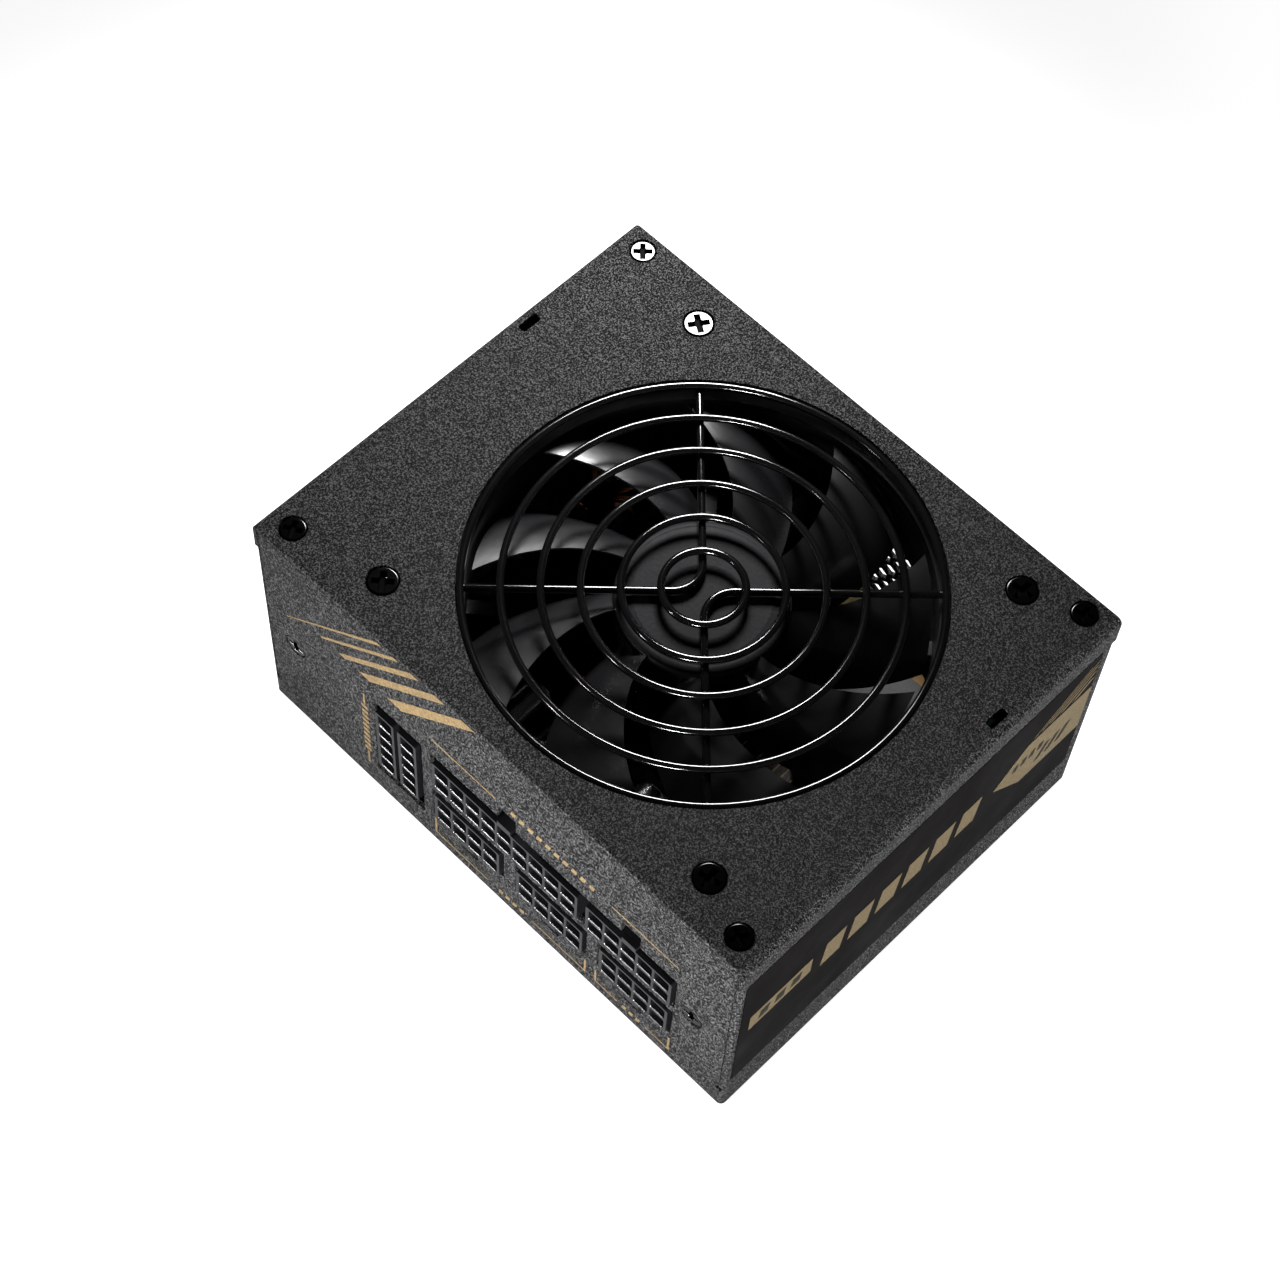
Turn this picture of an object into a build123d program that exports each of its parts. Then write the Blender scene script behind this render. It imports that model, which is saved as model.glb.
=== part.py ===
"""Modular small-form-factor computer power supply with a 92 mm fan, as separate named parts.

Millimetres. The origin is the centre of the housing's underside. +Z points up through the fan,
+X at the labelled side, -Y at the modular output sockets and +Y at the mains inlet.
"""

import os
from math import cos, radians, sin

from build123d import *

# Housing sheet metal.
WIDTH = 125.0
DEPTH = 100.0
HEIGHT = 63.5
SHEET = 1.0
BEND_R = 1.5
CORNER_R = 1.2
LABEL_THICKNESS = 0.15
BASE_WIDTH = WIDTH - 2 * LABEL_THICKNESS
FLANGE_HEIGHT = 7.0
FLANGE_GAP = 0.25
NECK_GAP = 0.1
NECK_WIDTH = WIDTH - 2 * SHEET - 2 * NECK_GAP
NECK_BOTTOM = HEIGHT - FLANGE_HEIGHT - FLANGE_GAP
WALL_TOP = HEIGHT - SHEET
WALL_INNER_X = BASE_WIDTH / 2 - SHEET
INNER_X = NECK_WIDTH / 2 - SHEET
INNER_Y = DEPTH / 2 - SHEET
CORNER_NOTCH = (1.5, 7.6)
EDGE_R = 0.2
TOP_BEND_R = 0.5
SEAM_INSET = 1.3
SEAM_WIDTH = 0.3
SEAM_BOTTOM = 8.0
SEAM_RELIEF_R = 0.8
CORNER_TAB = (9.0, 9.5)
TAB_GAP = 0.3
BACKING_TAB_WIDTH = 11.2
COVER_SLOT = (1.9, 4.7)
COVER_SLOT_POS = (59.6, 18.2)
COVER_SLOT_R = 0.5
TONGUE = (1.0, 3.4)
TONGUE_DROP = 2.6

# Countersunk screws: head radius, head height, shank radius and length, then the shared details.
COVER_SCREW = (2.65, 1.3, 1.4, 4.0)
PANEL_SCREW = (2.65, 1.3, 1.4, 6.0)
FAN_SCREW = (3.1, 1.3, 2.0, 11.0)
SCREW_CLEARANCE = 0.1
HEAD_SINK = 0.1
HEAD_ROUND = (0.45, 0.25)
SCREW_POINT = (0.5, 0.6)
RECESS_DEPTH = 0.9
RECESS_ARM = (1.34, 0.34)
RECESS_CENTRE = 0.3
RECESS_CHAMFER = 0.1
COVER_SCREW_TURNS = (30, 44, 62, 20)
FAN_SCREW_TURNS = (40, 56, 12, 5)
COVER_SCREW_X = 56.6
COVER_SCREW_YS = (-45.2, 46.0)
PANEL_SCREW_POS = ((-53.9, 28.6), (52.3, 28.0))

# Mounting holes of the form factor in the mains face.
MOUNT_SPACING = (113.0, 51.5)
MOUNT_CENTRE_Z = 31.75
MOUNT_HOLE_R = 1.35

# Fan and guard.
FAN_X = 4.15
FAN_Y = 0.3
FAN_SIZE = 92.0
FAN_THICKNESS = 15.0
FAN_HOLE_SPACING = 82.5
FAN_TOP = 60.6
FAN_BOTTOM = FAN_TOP - FAN_THICKNESS
FAN_FLANGE = 3.2
DUCT_R = 43.6
OPENING_R = 45.3
WIRE_R = 0.75
RING_Z = HEIGHT - WIRE_R
SPOKE_Z = FAN_TOP + WIRE_R
RING_RADII = [7.8 + 7.32 * i for i in range(6)]
SPOKE_BEND = 5.8
EYELET_R = 2.9

# Fan rotor and motor.
HUB_R = 16.5
HUB_TOP = 60.2
HUB_BOTTOM = 48.2
HUB_EDGE = 1.8
HUB_DOME = 0.3
CUP_R = 14.9
CUP_TOP = 58.2
BLADE_COUNT = 9
BLADE_PHASE = 19.0
BLADE_TIP_R = 42.6
BLADE_TOP = 59.4
BLADE_BOTTOM = 49.4
BLADE_SWEEP = 1.04
BLADE_STATIONS = ((12.0, 9.0, 1.5), (22.0, 11.6, 1.3), (32.0, 15.6, 1.1), (44.0, 21.0, 0.9))
BLADE_CAMBER = 0.1
SHAFT_R = 1.5
SHAFT_CLEARANCE = 0.05
SHAFT_SPAN = (47.9, 59.2)
BEARING_R = 2.6
BEARING_SPAN = (47.6, 55.8)
TUBE_R = 4.0
TUBE_TOP = 56.0
MOTOR_BASE_R = 17.0
MOTOR_BASE_TOP = 47.2
STATOR_SPAN = (50.4, 54.4)
POLE_R = (10.6, 12.2)
MAGNET_R = (12.8, 14.0)
MAGNET_SPAN = (49.2, 55.6)
STRUT = (3.0, 2.4)

# Modular output sockets: centre x, centre z, columns, rows and column pitch.
CELL = 3.55
COLUMN_PITCH = 4.2
ROW_PITCH = 4.6
SOCKET_RIM = 0.75
SOCKET_PROUD = 0.6
SOCKET_DEPTH = 12.8
CELL_DEPTH = 9.6
SOCKET_18 = (4.3, 30.3)
SOCKET_10 = (36.7, 30.3)
SOCKETS_8 = ((-5.8, 17.3), (16.5, 17.3), (38.6, 17.3))
SOCKETS_5 = ((-28.0, 23.6), (-21.9, 23.6))
PIN = 1.1
PIN_TIP_DEPTH = 3.0
PIN_TAIL = 2.0
MOUTH_CHAMFER = 0.12
LATCH = (3.5, 1.2, 2.4)

# Cut-outs of the socket face as x and z spans.
PANEL_CUTOUTS = (
    ((-15.9, 48.4), (25.0, 36.9)),
    ((2.1, 6.9), (36.0, 41.1)),
    ((34.2, 39.0), (36.0, 41.1)),
    ((-15.9, 3.8), (12.3, 22.5)),
    ((6.8, 26.0), (12.3, 22.5)),
    ((28.7, 48.2), (12.3, 22.5)),
    ((-8.0, -3.3), (8.4, 13.0)),
    ((14.0, 18.7), (8.4, 13.0)),
    ((36.1, 40.8), (8.4, 13.0)),
    ((-31.6, -18.3), (8.8, 36.7)),
)

# Mains inlet and rocker switch.
INLET_X = -41.0
INLET_Z = 22.0
INLET_FLANGE = (30.8, 23.2, 2.4)
INLET_BODY = (27.2, 19.8)
INLET_CAVITY = (24.2, 16.6)
INLET_CAVITY_DEPTH = 16.8
INLET_BACK = 33.0
INLET_CHAMFER = 4.6
INLET_PIN = (2.0, 4.0)
INLET_PIN_SPAN = (28.5, 50.2)
INLET_PINS = ((-7.0, -2.0), (7.0, -2.0), (0.0, 2.0))
SWITCH_X = -15.0
SWITCH_Z = 22.0
SWITCH_FLANGE = (15.0, 21.0, 1.8)
SWITCH_BODY = (12.8, 18.9)
SWITCH_OPENING = (10.8, 17.9)
SWITCH_BACK = 36.0
ROCKER_PIVOT_Y = 47.0
ROCKER_TILT = 8.0
ROCKER_WIDTH = 10.4
ROCKER_PIN_R = 1.2
ROCKER_PROFILE = (
    (5.2, -8.0),
    (3.8, 0.0),
    (5.2, 8.0),
    (0.5, 7.4),
    (-3.5, 2.6),
    (-3.5, -2.6),
    (0.5, -7.4),
)
SWITCH_TERMINAL = (4.8, 0.8, 8.0)
SWITCH_TERMINAL_ZS = (-6.0, 6.0)

# Ventilation holes of the mains face: rows up the wall, holes along each row.
VENT_PITCH = 3.74
VENT_FLATS = 2.8
VENT_COUNT = (14, 12)
VENT_CENTRE = (20.6, 33.0)

# Circuit boards.
BOARD_THICKNESS = 1.6
BOARD_BOTTOM = 6.0
BOARD_TOP = BOARD_BOTTOM + BOARD_THICKNESS
BOARD_SPAN_X = (-57.0, 57.0)
BOARD_SPAN_Y = (-34.0, 46.0)
BOARD_HOLES = ((-53.0, -30.5), (53.0, -30.5), (-53.0, 41.0), (53.0, 41.0))
BOARD_HOLE_R = 1.6
SHEET_GAP = 0.3
MODULAR_BOARD_FRONT = -DEPTH / 2 - SOCKET_PROUD + SOCKET_DEPTH
MODULAR_BOARD_X = (-34.0, 52.0)
MODULAR_BOARD_Z = (3.0, 44.0)

# Labels: y and z spans of the side label, and the rating label's width and height.
LABEL_Y = (-48.6, 46.6)
LABEL_Z = (12.5, 56.1)
LABEL_CORNER_R = 0.8
RATING_LABEL = (84.0, 42.0)
RATING_LABEL_Z = 30.9
RATING_CORNER_R = 1.5

# Board-mounted parts: position, then core radius, bore radius and height.
CHOKE_POS = (-41.0, 19.4, 16.6)
CHOKE_CORE = (7.6, 4.0, 8.0)
BOOST_POS = (-1.5, -17.0, 16.5)
BOOST_CORE = (11.2, 6.0, 10.0)
BULK_POS = (-40.6, -13.0)
BULK_SIZE = (12.5, 34.0)
BULK_VENT = (19.0, 0.5, 0.4)

# Windings: wire radius, number of turns and arcs in degrees, and the gap round the core.
CHOKE_WINDING = (0.5, 8, ((20, 160), (200, 340)))
BOOST_WINDING = (0.6, 24, ((0, 345),))
TURN_GAP = 0.08
CORE_EDGE_R = 0.6
TURN_CORNER_R = 1.0

# Floor insulation, standoffs and board screws.
INSULATION_X = (-58.0, 58.0)
INSULATION_Y = (-46.0, 46.0)
INSULATION_HOLE_R = 3.4
STANDOFF_FLATS = 5.5
BOARD_CORNER_R = 2.0
BOARD_SCREW_HEAD = (2.8, 2.0)
BOARD_SCREW_SHANK = (1.5, 4.0)
BOARD_SCREW_SLOT = (3.0, 0.7, 0.9)

# Boxes on the main board: x span, y span and heights above the board.
FILM_CAPACITOR = ((-31.5, -19.5), (19.0, 32.0), (0.0, 15.0))
PRIMARY_PLATE = ((-22.0, -19.5), (-27.0, 8.0), (0.0, 33.4))
PRIMARY_FINS = [((-19.5, -14.0), (-27.0, 8.0), (6.4 + 6 * i, 7.8 + 6 * i)) for i in range(5)]
RECTIFIER = ((-25.8, -22.0), (-2.0, 8.0), (4.0, 20.0))
CORE_OUTSIDE = ((13.0, 43.0), (8.0, 26.0), (2.0, 30.0))
CORE_WINDOW = ((17.5, 38.5), (8.0, 26.0), (6.5, 25.5))
CORE_LEG = ((23.0, 33.0), (8.0, 26.0), (6.5, 25.5))
WINDING_OUTSIDE = ((18.2, 37.8), (3.5, 30.5), (7.0, 25.0))
WINDING_BORE = ((23.0, 33.0), (8.0, 26.0), (6.0, 26.0))
WINDING_CORNER_R = 2.5
TRANSFORMER_BASE = ((14.0, 42.0), (5.0, 29.0), (0.0, 2.0))
RESONANT_CHOKE = (
    ((-7.0, 8.0), (6.0, 21.0), (0.0, 4.0)),
    ((-6.0, 7.0), (6.0, 21.0), (4.0, 14.0)),
    ((-7.0, 8.0), (6.0, 21.0), (14.0, 18.0)),
)
STANDBY_TRANSFORMER = (
    ((1.0, 13.0), (31.0, 43.0), (0.0, 3.0)),
    ((2.0, 12.0), (29.0, 45.0), (3.0, 11.0)),
    ((1.0, 13.0), (31.0, 43.0), (11.0, 14.0)),
)
SECONDARY_PLATE = ((46.5, 48.5), (-12.0, 28.0), (0.0, 31.4))
SECONDARY_FINS = [((48.5, 54.0), (-12 + 6 * i, -10.6 + 6 * i), (2.0, 31.4)) for i in range(7)]
CONTROL_BOARD = (
    ((18.0, 48.0), (37.4, 39.0), (0.0, 24.0)),
    ((24.0, 34.0), (36.2, 37.4), (8.0, 15.0)),
    ((38.0, 44.0), (36.2, 37.4), (6.0, 12.0)),
)
CONVERTER_BOARD = ((10.0, 46.0), (-26.0, -24.4), (0.0, 28.0))
SMALL_EDGE_R = 0.5
CASE_EDGE_R = 0.8

# Transistors: body and tab spans, then the centres along y and the leads' places.
TRANSISTOR_YS = (-20.0, -8.0)
TRANSISTOR_HALF = 5.0
TRANSISTOR_BODY = ((-26.6, -22.0), (3.0, 13.0))
TRANSISTOR_TAB = ((-23.4, -22.0), (13.0, 18.5))
TRANSISTOR_LEADS = (-24.45, (-2.5, 0.0, 2.5), (0.7, 0.9, 3.0))
RECTIFIER_LEADS = (-24.0, (-0.5, 2.0, 4.5, 6.5), (0.8, 1.0, 4.0))

# Round parts: radius and length, then the heights of their axes above the board.
DISC = (4.6, 3.2)
DISC_XS = (-29.0, -22.0)
DISC_Y = 14.0
DISC_RISE = 7.0
DISC_LEAD_YS = (11.3, 16.7)
FUSE = (3.2, 20.0)
FUSE_POS = (-53.0, 21.0)
FUSE_RISE = 3.3
FUSE_LEAD_YS = (12.5, 29.5)
THERMISTOR = (5.5, 4.0)
THERMISTOR_POS = (-14.0, 14.0)
THERMISTOR_RISE = 7.5
THERMISTOR_LEAD_YS = (11.0, 17.0)
LEAD = (0.8, 0.8, 5.0)
FUSE_LEAD = (0.8, 0.8, 2.0)
OUTPUT_CAPACITOR = (5.0, 20.0)
OUTPUT_CAPACITOR_XS = (17.0, 28.0, 39.0)
OUTPUT_CAPACITOR_YS = (-15.0, -4.0)
CAPACITOR_EDGE_R = 0.6

# Converter chokes, polymer capacitors and copper bars.
CONVERTER_CHOKE = (9.0, 3.0, 9.0)
CONVERTER_CHOKE_XS = (16.0, 28.0, 40.0)
CONVERTER_CHOKE_RISE = 20.0
POLYMER_CAPACITOR = (3.4, 9.0)
POLYMER_CAPACITOR_XS = (-10.0, 0.0, 10.0, 20.0, 30.0, 40.0)
POLYMER_CAPACITOR_Z = 40.0
POLYMER_EDGE_R = 0.4
COPPER_BAR_XS = (-4.0, 16.0, 36.0)
COPPER_BAR_WIDTH = 10.0
COPPER_THICKNESS = 1.2
COPPER_BAR_BACK = -30.0
COPPER_BAR_RISE = 2.6

# Wire routes.
MAINS_WIRE_R = 1.1
MAINS_PATHS = (
    (
        (-34.0, 28.4, 20.0),
        (-34.0, 25.6, 20.0),
        (-34.0, 25.6, 34.0),
        (-15.0, 25.6, 34.0),
        (-15.0, 25.6, 28.0),
        (-15.0, 29.9, 28.0),
    ),
    (
        (-48.0, 28.4, 20.0),
        (-48.0, 25.6, 20.0),
        (-48.0, 25.6, 30.0),
        (-55.0, 25.6, 30.0),
        (-55.0, 6.5, 30.0),
        (-55.0, 6.5, BOARD_TOP),
    ),
    ((-15.0, 29.9, 16.0), (-15.0, 26.0, 16.0), (-15.0, 26.0, BOARD_TOP)),
)
GROUND_PATH = (
    (-41.0, 28.4, 24.0),
    (-41.0, 22.0, 24.0),
    (-41.0, 22.0, 37.0),
    (-59.9, 22.0, 37.0),
)
GROUND_LUG = ((-INNER_X, -59.9), (19.0, 25.0), (34.0, 40.0))
FAN_CABLE_R = 0.6
FAN_CABLE_PATH = (
    (FAN_X - FAN_SIZE / 2, 14.0, 47.2),
    (-50.0, 14.0, 47.2),
    (-50.0, 5.0, 47.2),
    (-50.0, 5.0, 14.0),
)

FRONT = Plane(origin=(0, -DEPTH / 2, 0), x_dir=(1, 0, 0), z_dir=(0, -1, 0))
REAR = Plane(origin=(0, DEPTH / 2, 0), x_dir=(-1, 0, 0), z_dir=(0, 1, 0))
FAN_CORNERS = [
    (FAN_X + sx * FAN_HOLE_SPACING / 2, FAN_Y + sy * FAN_HOLE_SPACING / 2)
    for sx in (-1, 1)
    for sy in (-1, 1)
]
COVER_CORNERS = [(sx * COVER_SCREW_X, y) for sx in (-1, 1) for y in COVER_SCREW_YS]
SOCKET_LAYOUT = (
    [(*SOCKET_18, 9, 2), (*SOCKET_10, 5, 2)]
    + [(*pos, 4, 2) for pos in SOCKETS_8]
    + [(*pos, 1, 5) for pos in SOCKETS_5]
)

pieces = {}


def centre(span):
    """Middle of a span."""
    return (span[0] + span[1]) / 2


def length(span):
    """Length of a span."""
    return span[1] - span[0]


def block(xs, ys, zs, mode=Mode.ADD):
    """Box over three spans."""
    with Locations((centre(xs), centre(ys), centre(zs))):
        return Box(length(xs), length(ys), length(zs), mode=mode)


def on_board(xs, ys, heights, mode=Mode.ADD):
    """Box over x and y spans, between two heights above the main board."""
    return block(xs, ys, (BOARD_TOP + heights[0], BOARD_TOP + heights[1]), mode)


def leads(points, size):
    """Square leads standing on the main board."""
    with Locations(*[(x, y, BOARD_TOP + size[2] / 2) for x, y in points]):
        Box(*size)


def tube(outer, inner, zs, at=(0, 0)):
    """Ring of the given radii over a height span."""
    with BuildPart() as ring:
        with Locations((*at, centre(zs))):
            Cylinder(outer, length(zs))
            if inner:
                Cylinder(inner, length(zs), mode=Mode.SUBTRACT)
    return ring.part


def countersunk_screw(head_r, head_height, shank_r, total):
    """Cross-recess screw pointing down, with the head's flat top at the origin."""
    with BuildPart() as body:
        with BuildSketch(Plane.XZ):
            with BuildLine():
                top = Line((0, 0), (head_r - HEAD_ROUND[0], 0))
                rim = TangentArc(top @ 1, (head_r, -HEAD_ROUND[1]), tangent=(1, 0))
                Polyline(
                    rim @ 1,
                    (shank_r, -head_height),
                    (shank_r, -total + SCREW_POINT[1]),
                    (shank_r - SCREW_POINT[0], -total),
                    (0, -total),
                    (0, 0),
                )
            make_face()
        revolve(axis=Axis.Z)
        with BuildSketch():
            for turn in (0, 90):
                Rectangle(head_r * RECESS_ARM[0], head_r * RECESS_ARM[1], rotation=turn)
            Circle(head_r * RECESS_CENTRE)
        extrude(amount=-RECESS_DEPTH, mode=Mode.SUBTRACT)
        chamfer(body.faces().sort_by(Axis.Z)[-1].inner_wires().edges(), RECESS_CHAMFER)
    return body.part


def turned(corners, turns):
    """Locations of screws on the cover, each head turned by its own angle."""
    return [Location((x, y, HEIGHT - HEAD_SINK), (0, 0, turn)) for (x, y), turn in zip(corners, turns)]


def countersink(head_r, head_height, shank_r, total):
    """Clearance for a countersunk screw, its mouth at the origin."""
    with BuildPart() as space:
        with BuildSketch(Plane.XZ):
            with BuildLine():
                Polyline(
                    (0, HEAD_SINK),
                    (head_r + 2 * SCREW_CLEARANCE, HEAD_SINK),
                    (head_r + 2 * SCREW_CLEARANCE, -HEAD_SINK - 0.2),
                    (shank_r + SCREW_CLEARANCE, -HEAD_SINK - head_height),
                    (shank_r + SCREW_CLEARANCE, -total - 1),
                    (0, -total - 1),
                    close=True,
                )
            make_face()
        revolve(axis=Axis.Z)
    return space.part


def socket_size(columns, rows):
    """Outer width and height of a socket housing."""
    row_pitch = ROW_PITCH if columns > 1 else COLUMN_PITCH
    width = (columns - 1) * COLUMN_PITCH + CELL + 2 * SOCKET_RIM
    height = (rows - 1) * row_pitch + CELL + 2 * SOCKET_RIM
    return width, height, row_pitch


def socket(columns, rows, latch):
    """Socket housing with one cell for each contact; its mouth is at the origin, facing +Z."""
    width, height, row_pitch = socket_size(columns, rows)
    with BuildPart() as body:
        with BuildSketch():
            RectangleRounded(width, height, 0.4)
        extrude(amount=-SOCKET_DEPTH)
        if latch:
            with Locations((0, latch * (height + LATCH[1]) / 2, -LATCH[2] / 2)):
                Box(LATCH[0], LATCH[1], LATCH[2])
        with BuildSketch():
            with GridLocations(COLUMN_PITCH, row_pitch, columns, rows):
                RectangleRounded(CELL, CELL, 0.45)
        extrude(amount=-CELL_DEPTH, mode=Mode.SUBTRACT)
        mouth = body.faces().sort_by(Axis.Z)[-1]
        chamfer([edge for wire in mouth.inner_wires() for edge in wire.edges()], MOUTH_CHAMFER)
        with BuildSketch():
            with GridLocations(COLUMN_PITCH, row_pitch, columns, rows):
                Rectangle(PIN, PIN)
        extrude(amount=-SOCKET_DEPTH, mode=Mode.SUBTRACT)
    return body.part


def contact_pins(columns, rows):
    """Straight square contacts of one socket, from inside the cells out through the board."""
    row_pitch = socket_size(columns, rows)[2]
    tail = SOCKET_DEPTH + BOARD_THICKNESS + PIN_TAIL
    with BuildPart() as pins:
        with BuildSketch(Plane.XY.offset(-tail)):
            with GridLocations(COLUMN_PITCH, row_pitch, columns, rows):
                Rectangle(PIN, PIN)
        extrude(amount=tail - PIN_TIP_DEPTH)
    return pins.part


def socket_location(x, z):
    """Location of a socket's mouth on the socket face."""
    return Location((x, -DEPTH / 2 - SOCKET_PROUD, z), (90, 0, 0))


def wound_core(core_r, bore_r, height):
    """Plain toroidal core lying flat."""
    with BuildPart() as core:
        Cylinder(core_r, height)
        Cylinder(bore_r, height, mode=Mode.SUBTRACT)
        fillet(core.edges().filter_by(GeomType.CIRCLE), CORE_EDGE_R)
    return core.part


def winding(core_r, bore_r, height, wire_r, turns, arcs):
    """Turns of wire wrapped round a flat toroidal core, in one or more arcs of a full circle."""
    mid_r = (core_r + bore_r) / 2
    out_r = core_r - mid_r + wire_r
    out_z = height / 2 + wire_r
    with BuildPart() as coil:
        for start, stop in arcs:
            step = (stop - start) / (turns - 1)
            for i in range(turns):
                spin = Location((0, 0, 0), (0, 0, start + step * i))
                with BuildPart(mode=Mode.PRIVATE) as turn:
                    with BuildSketch(Plane.XZ):
                        with Locations((mid_r, 0)):
                            RectangleRounded(2 * out_r + wire_r, 2 * out_z + wire_r, TURN_CORNER_R)
                            Rectangle(core_r - bore_r + 2 * TURN_GAP, height, mode=Mode.SUBTRACT)
                    extrude(amount=wire_r, both=True)
                with Locations(spin):
                    add(turn.part)
    return coil.part


def fan_blade():
    """One forward-swept blade, longer than needed at both ends."""
    rise = (BLADE_TOP - BLADE_BOTTOM) / 2
    with BuildPart() as blade:
        for radius, chord, thickness in BLADE_STATIONS:
            angle = radians(BLADE_SWEEP * (radius - HUB_R))
            outward = (cos(angle), sin(angle), 0)
            along = (-sin(angle), cos(angle), 0)
            base = (radius * outward[0], radius * outward[1], (BLADE_TOP + BLADE_BOTTOM) / 2)
            bow = BLADE_CAMBER * chord
            with BuildSketch(Plane(origin=base, x_dir=along, z_dir=outward)):
                with BuildLine():
                    Spline(
                        (-chord / 2, -rise),
                        (0, bow + thickness / 2),
                        (chord / 2, rise),
                    )
                    Line((chord / 2, rise), (chord / 2 + 0.1, rise - 0.5))
                    Spline(
                        (chord / 2 + 0.1, rise - 0.5),
                        (0, bow - thickness / 2),
                        (-chord / 2 + 0.4, -rise - 0.3),
                    )
                    Line((-chord / 2 + 0.4, -rise - 0.3), (-chord / 2, -rise))
                make_face()
        loft()
    return blade.part


# Folded tray: floor, socket face, mains face, side walls necked in under the cover's flanges,
# screw tabs, backing tabs and the tongues under the cover's slots.
with BuildPart() as base_chassis:
    with BuildSketch():
        RectangleRounded(BASE_WIDTH, DEPTH, CORNER_R)
    extrude(amount=WALL_TOP)
    fillet(base_chassis.faces().sort_by(Axis.Z)[0].edges(), CORNER_R - 0.1)
    top_edges = base_chassis.edges().filter_by(Axis.X).group_by(Axis.Z)[-1]
    fillet(top_edges, TOP_BEND_R)
    with BuildSketch(Plane.XY.offset(SHEET)):
        Rectangle(2 * WALL_INNER_X, 2 * INNER_Y)
    extrude(amount=NECK_BOTTOM - 2 * SHEET, mode=Mode.SUBTRACT)
    with BuildSketch(Plane.XY.offset(SHEET)):
        Rectangle(2 * INNER_X, 2 * INNER_Y)
    extrude(amount=HEIGHT, mode=Mode.SUBTRACT)
    for side in (-1, 1):
        shoulder = sorted((side * NECK_WIDTH / 2, side * BASE_WIDTH / 2))
        block(shoulder, (-INNER_Y, INNER_Y), (NECK_BOTTOM, WALL_TOP), Mode.SUBTRACT)
        neck = sorted((side * INNER_X, side * NECK_WIDTH / 2))
        block(neck, (-INNER_Y, INNER_Y), (WALL_TOP - SHEET, WALL_TOP), Mode.SUBTRACT)
        for end in (-1, 1):
            seam_x = side * (BASE_WIDTH / 2 - SEAM_INSET)
            seam_y = end * (DEPTH - SHEET) / 2
            with Locations((seam_x, seam_y, (SEAM_BOTTOM + WALL_TOP) / 2)):
                Box(SEAM_WIDTH, SHEET, WALL_TOP - SEAM_BOTTOM, mode=Mode.SUBTRACT)
            with Locations(Location((seam_x, seam_y, SEAM_BOTTOM), (90, 0, 0))):
                Cylinder(SEAM_RELIEF_R, SHEET, mode=Mode.SUBTRACT)
            notch_x = sorted((side * (BASE_WIDTH / 2 - CORNER_NOTCH[0]), side * BASE_WIDTH / 2))
            notch_y = sorted((end * INNER_Y, end * DEPTH / 2))
            block(notch_x, notch_y, (WALL_TOP - CORNER_NOTCH[1] + SHEET, WALL_TOP), Mode.SUBTRACT)
            tab_x = sorted((side * (INNER_X - BACKING_TAB_WIDTH), side * WALL_INNER_X))
            tab_y = sorted((end * (INNER_Y - SHEET), end * INNER_Y))
            block(tab_x, tab_y, (SEAM_BOTTOM + 2, NECK_BOTTOM - SHEET))
            top_x = sorted((side * (INNER_X - TAB_GAP - CORNER_TAB[0]), side * (INNER_X - TAB_GAP)))
            top_y = sorted((end * (INNER_Y - CORNER_TAB[1]), end * INNER_Y))
            block(top_x, top_y, (WALL_TOP - SHEET, WALL_TOP))
        tongue_x = [side * COVER_SLOT_POS[0] + offset for offset in (-TONGUE[0] / 2, TONGUE[0] / 2)]
        tongue_y = [COVER_SLOT_POS[1] + offset for offset in (-TONGUE[1] / 2, TONGUE[1] / 2)]
        foot_x = sorted((side * INNER_X, side * (COVER_SLOT_POS[0] - TONGUE[0] / 2)))
        block(foot_x, tongue_y, (WALL_TOP - 4 * SHEET, WALL_TOP - 3 * SHEET))
        block(tongue_x, tongue_y, (WALL_TOP - 4 * SHEET, HEIGHT - TONGUE_DROP))
    with BuildSketch(FRONT):
        for xs, zs in PANEL_CUTOUTS:
            with Locations((centre(xs), centre(zs))):
                Rectangle(length(xs), length(zs))
    extrude(amount=-2 * SHEET, mode=Mode.SUBTRACT)
    with BuildSketch(REAR):
        with Locations((-INLET_X, INLET_Z)):
            Rectangle(INLET_BODY[0] + 0.2, INLET_BODY[1] + 0.2)
        with Locations((-SWITCH_X, SWITCH_Z)):
            Rectangle(SWITCH_BODY[0] + 0.2, SWITCH_BODY[1] + 0.2)
        with Locations((0, MOUNT_CENTRE_Z)):
            with GridLocations(*MOUNT_SPACING, 2, 2):
                Circle(MOUNT_HOLE_R)
    extrude(amount=-2 * SHEET, mode=Mode.SUBTRACT)
    for x, y in COVER_CORNERS:
        with Locations((x, y, HEIGHT)):
            add(countersink(*COVER_SCREW), mode=Mode.SUBTRACT)
    for x, z in PANEL_SCREW_POS:
        with Locations(Location((x, -DEPTH / 2, z), (90, 0, 0))):
            add(countersink(*PANEL_SCREW), mode=Mode.SUBTRACT)
    with BuildSketch(REAR):
        with Locations(Location((-VENT_CENTRE[0], VENT_CENTRE[1], 0), (0, 0, 90))):
            with HexLocations(VENT_PITCH / 2, *VENT_COUNT):
                RegularPolygon(VENT_FLATS / 2, 6, major_radius=False)
    extrude(amount=-SHEET, mode=Mode.SUBTRACT)
pieces["base_chassis"] = base_chassis

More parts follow.
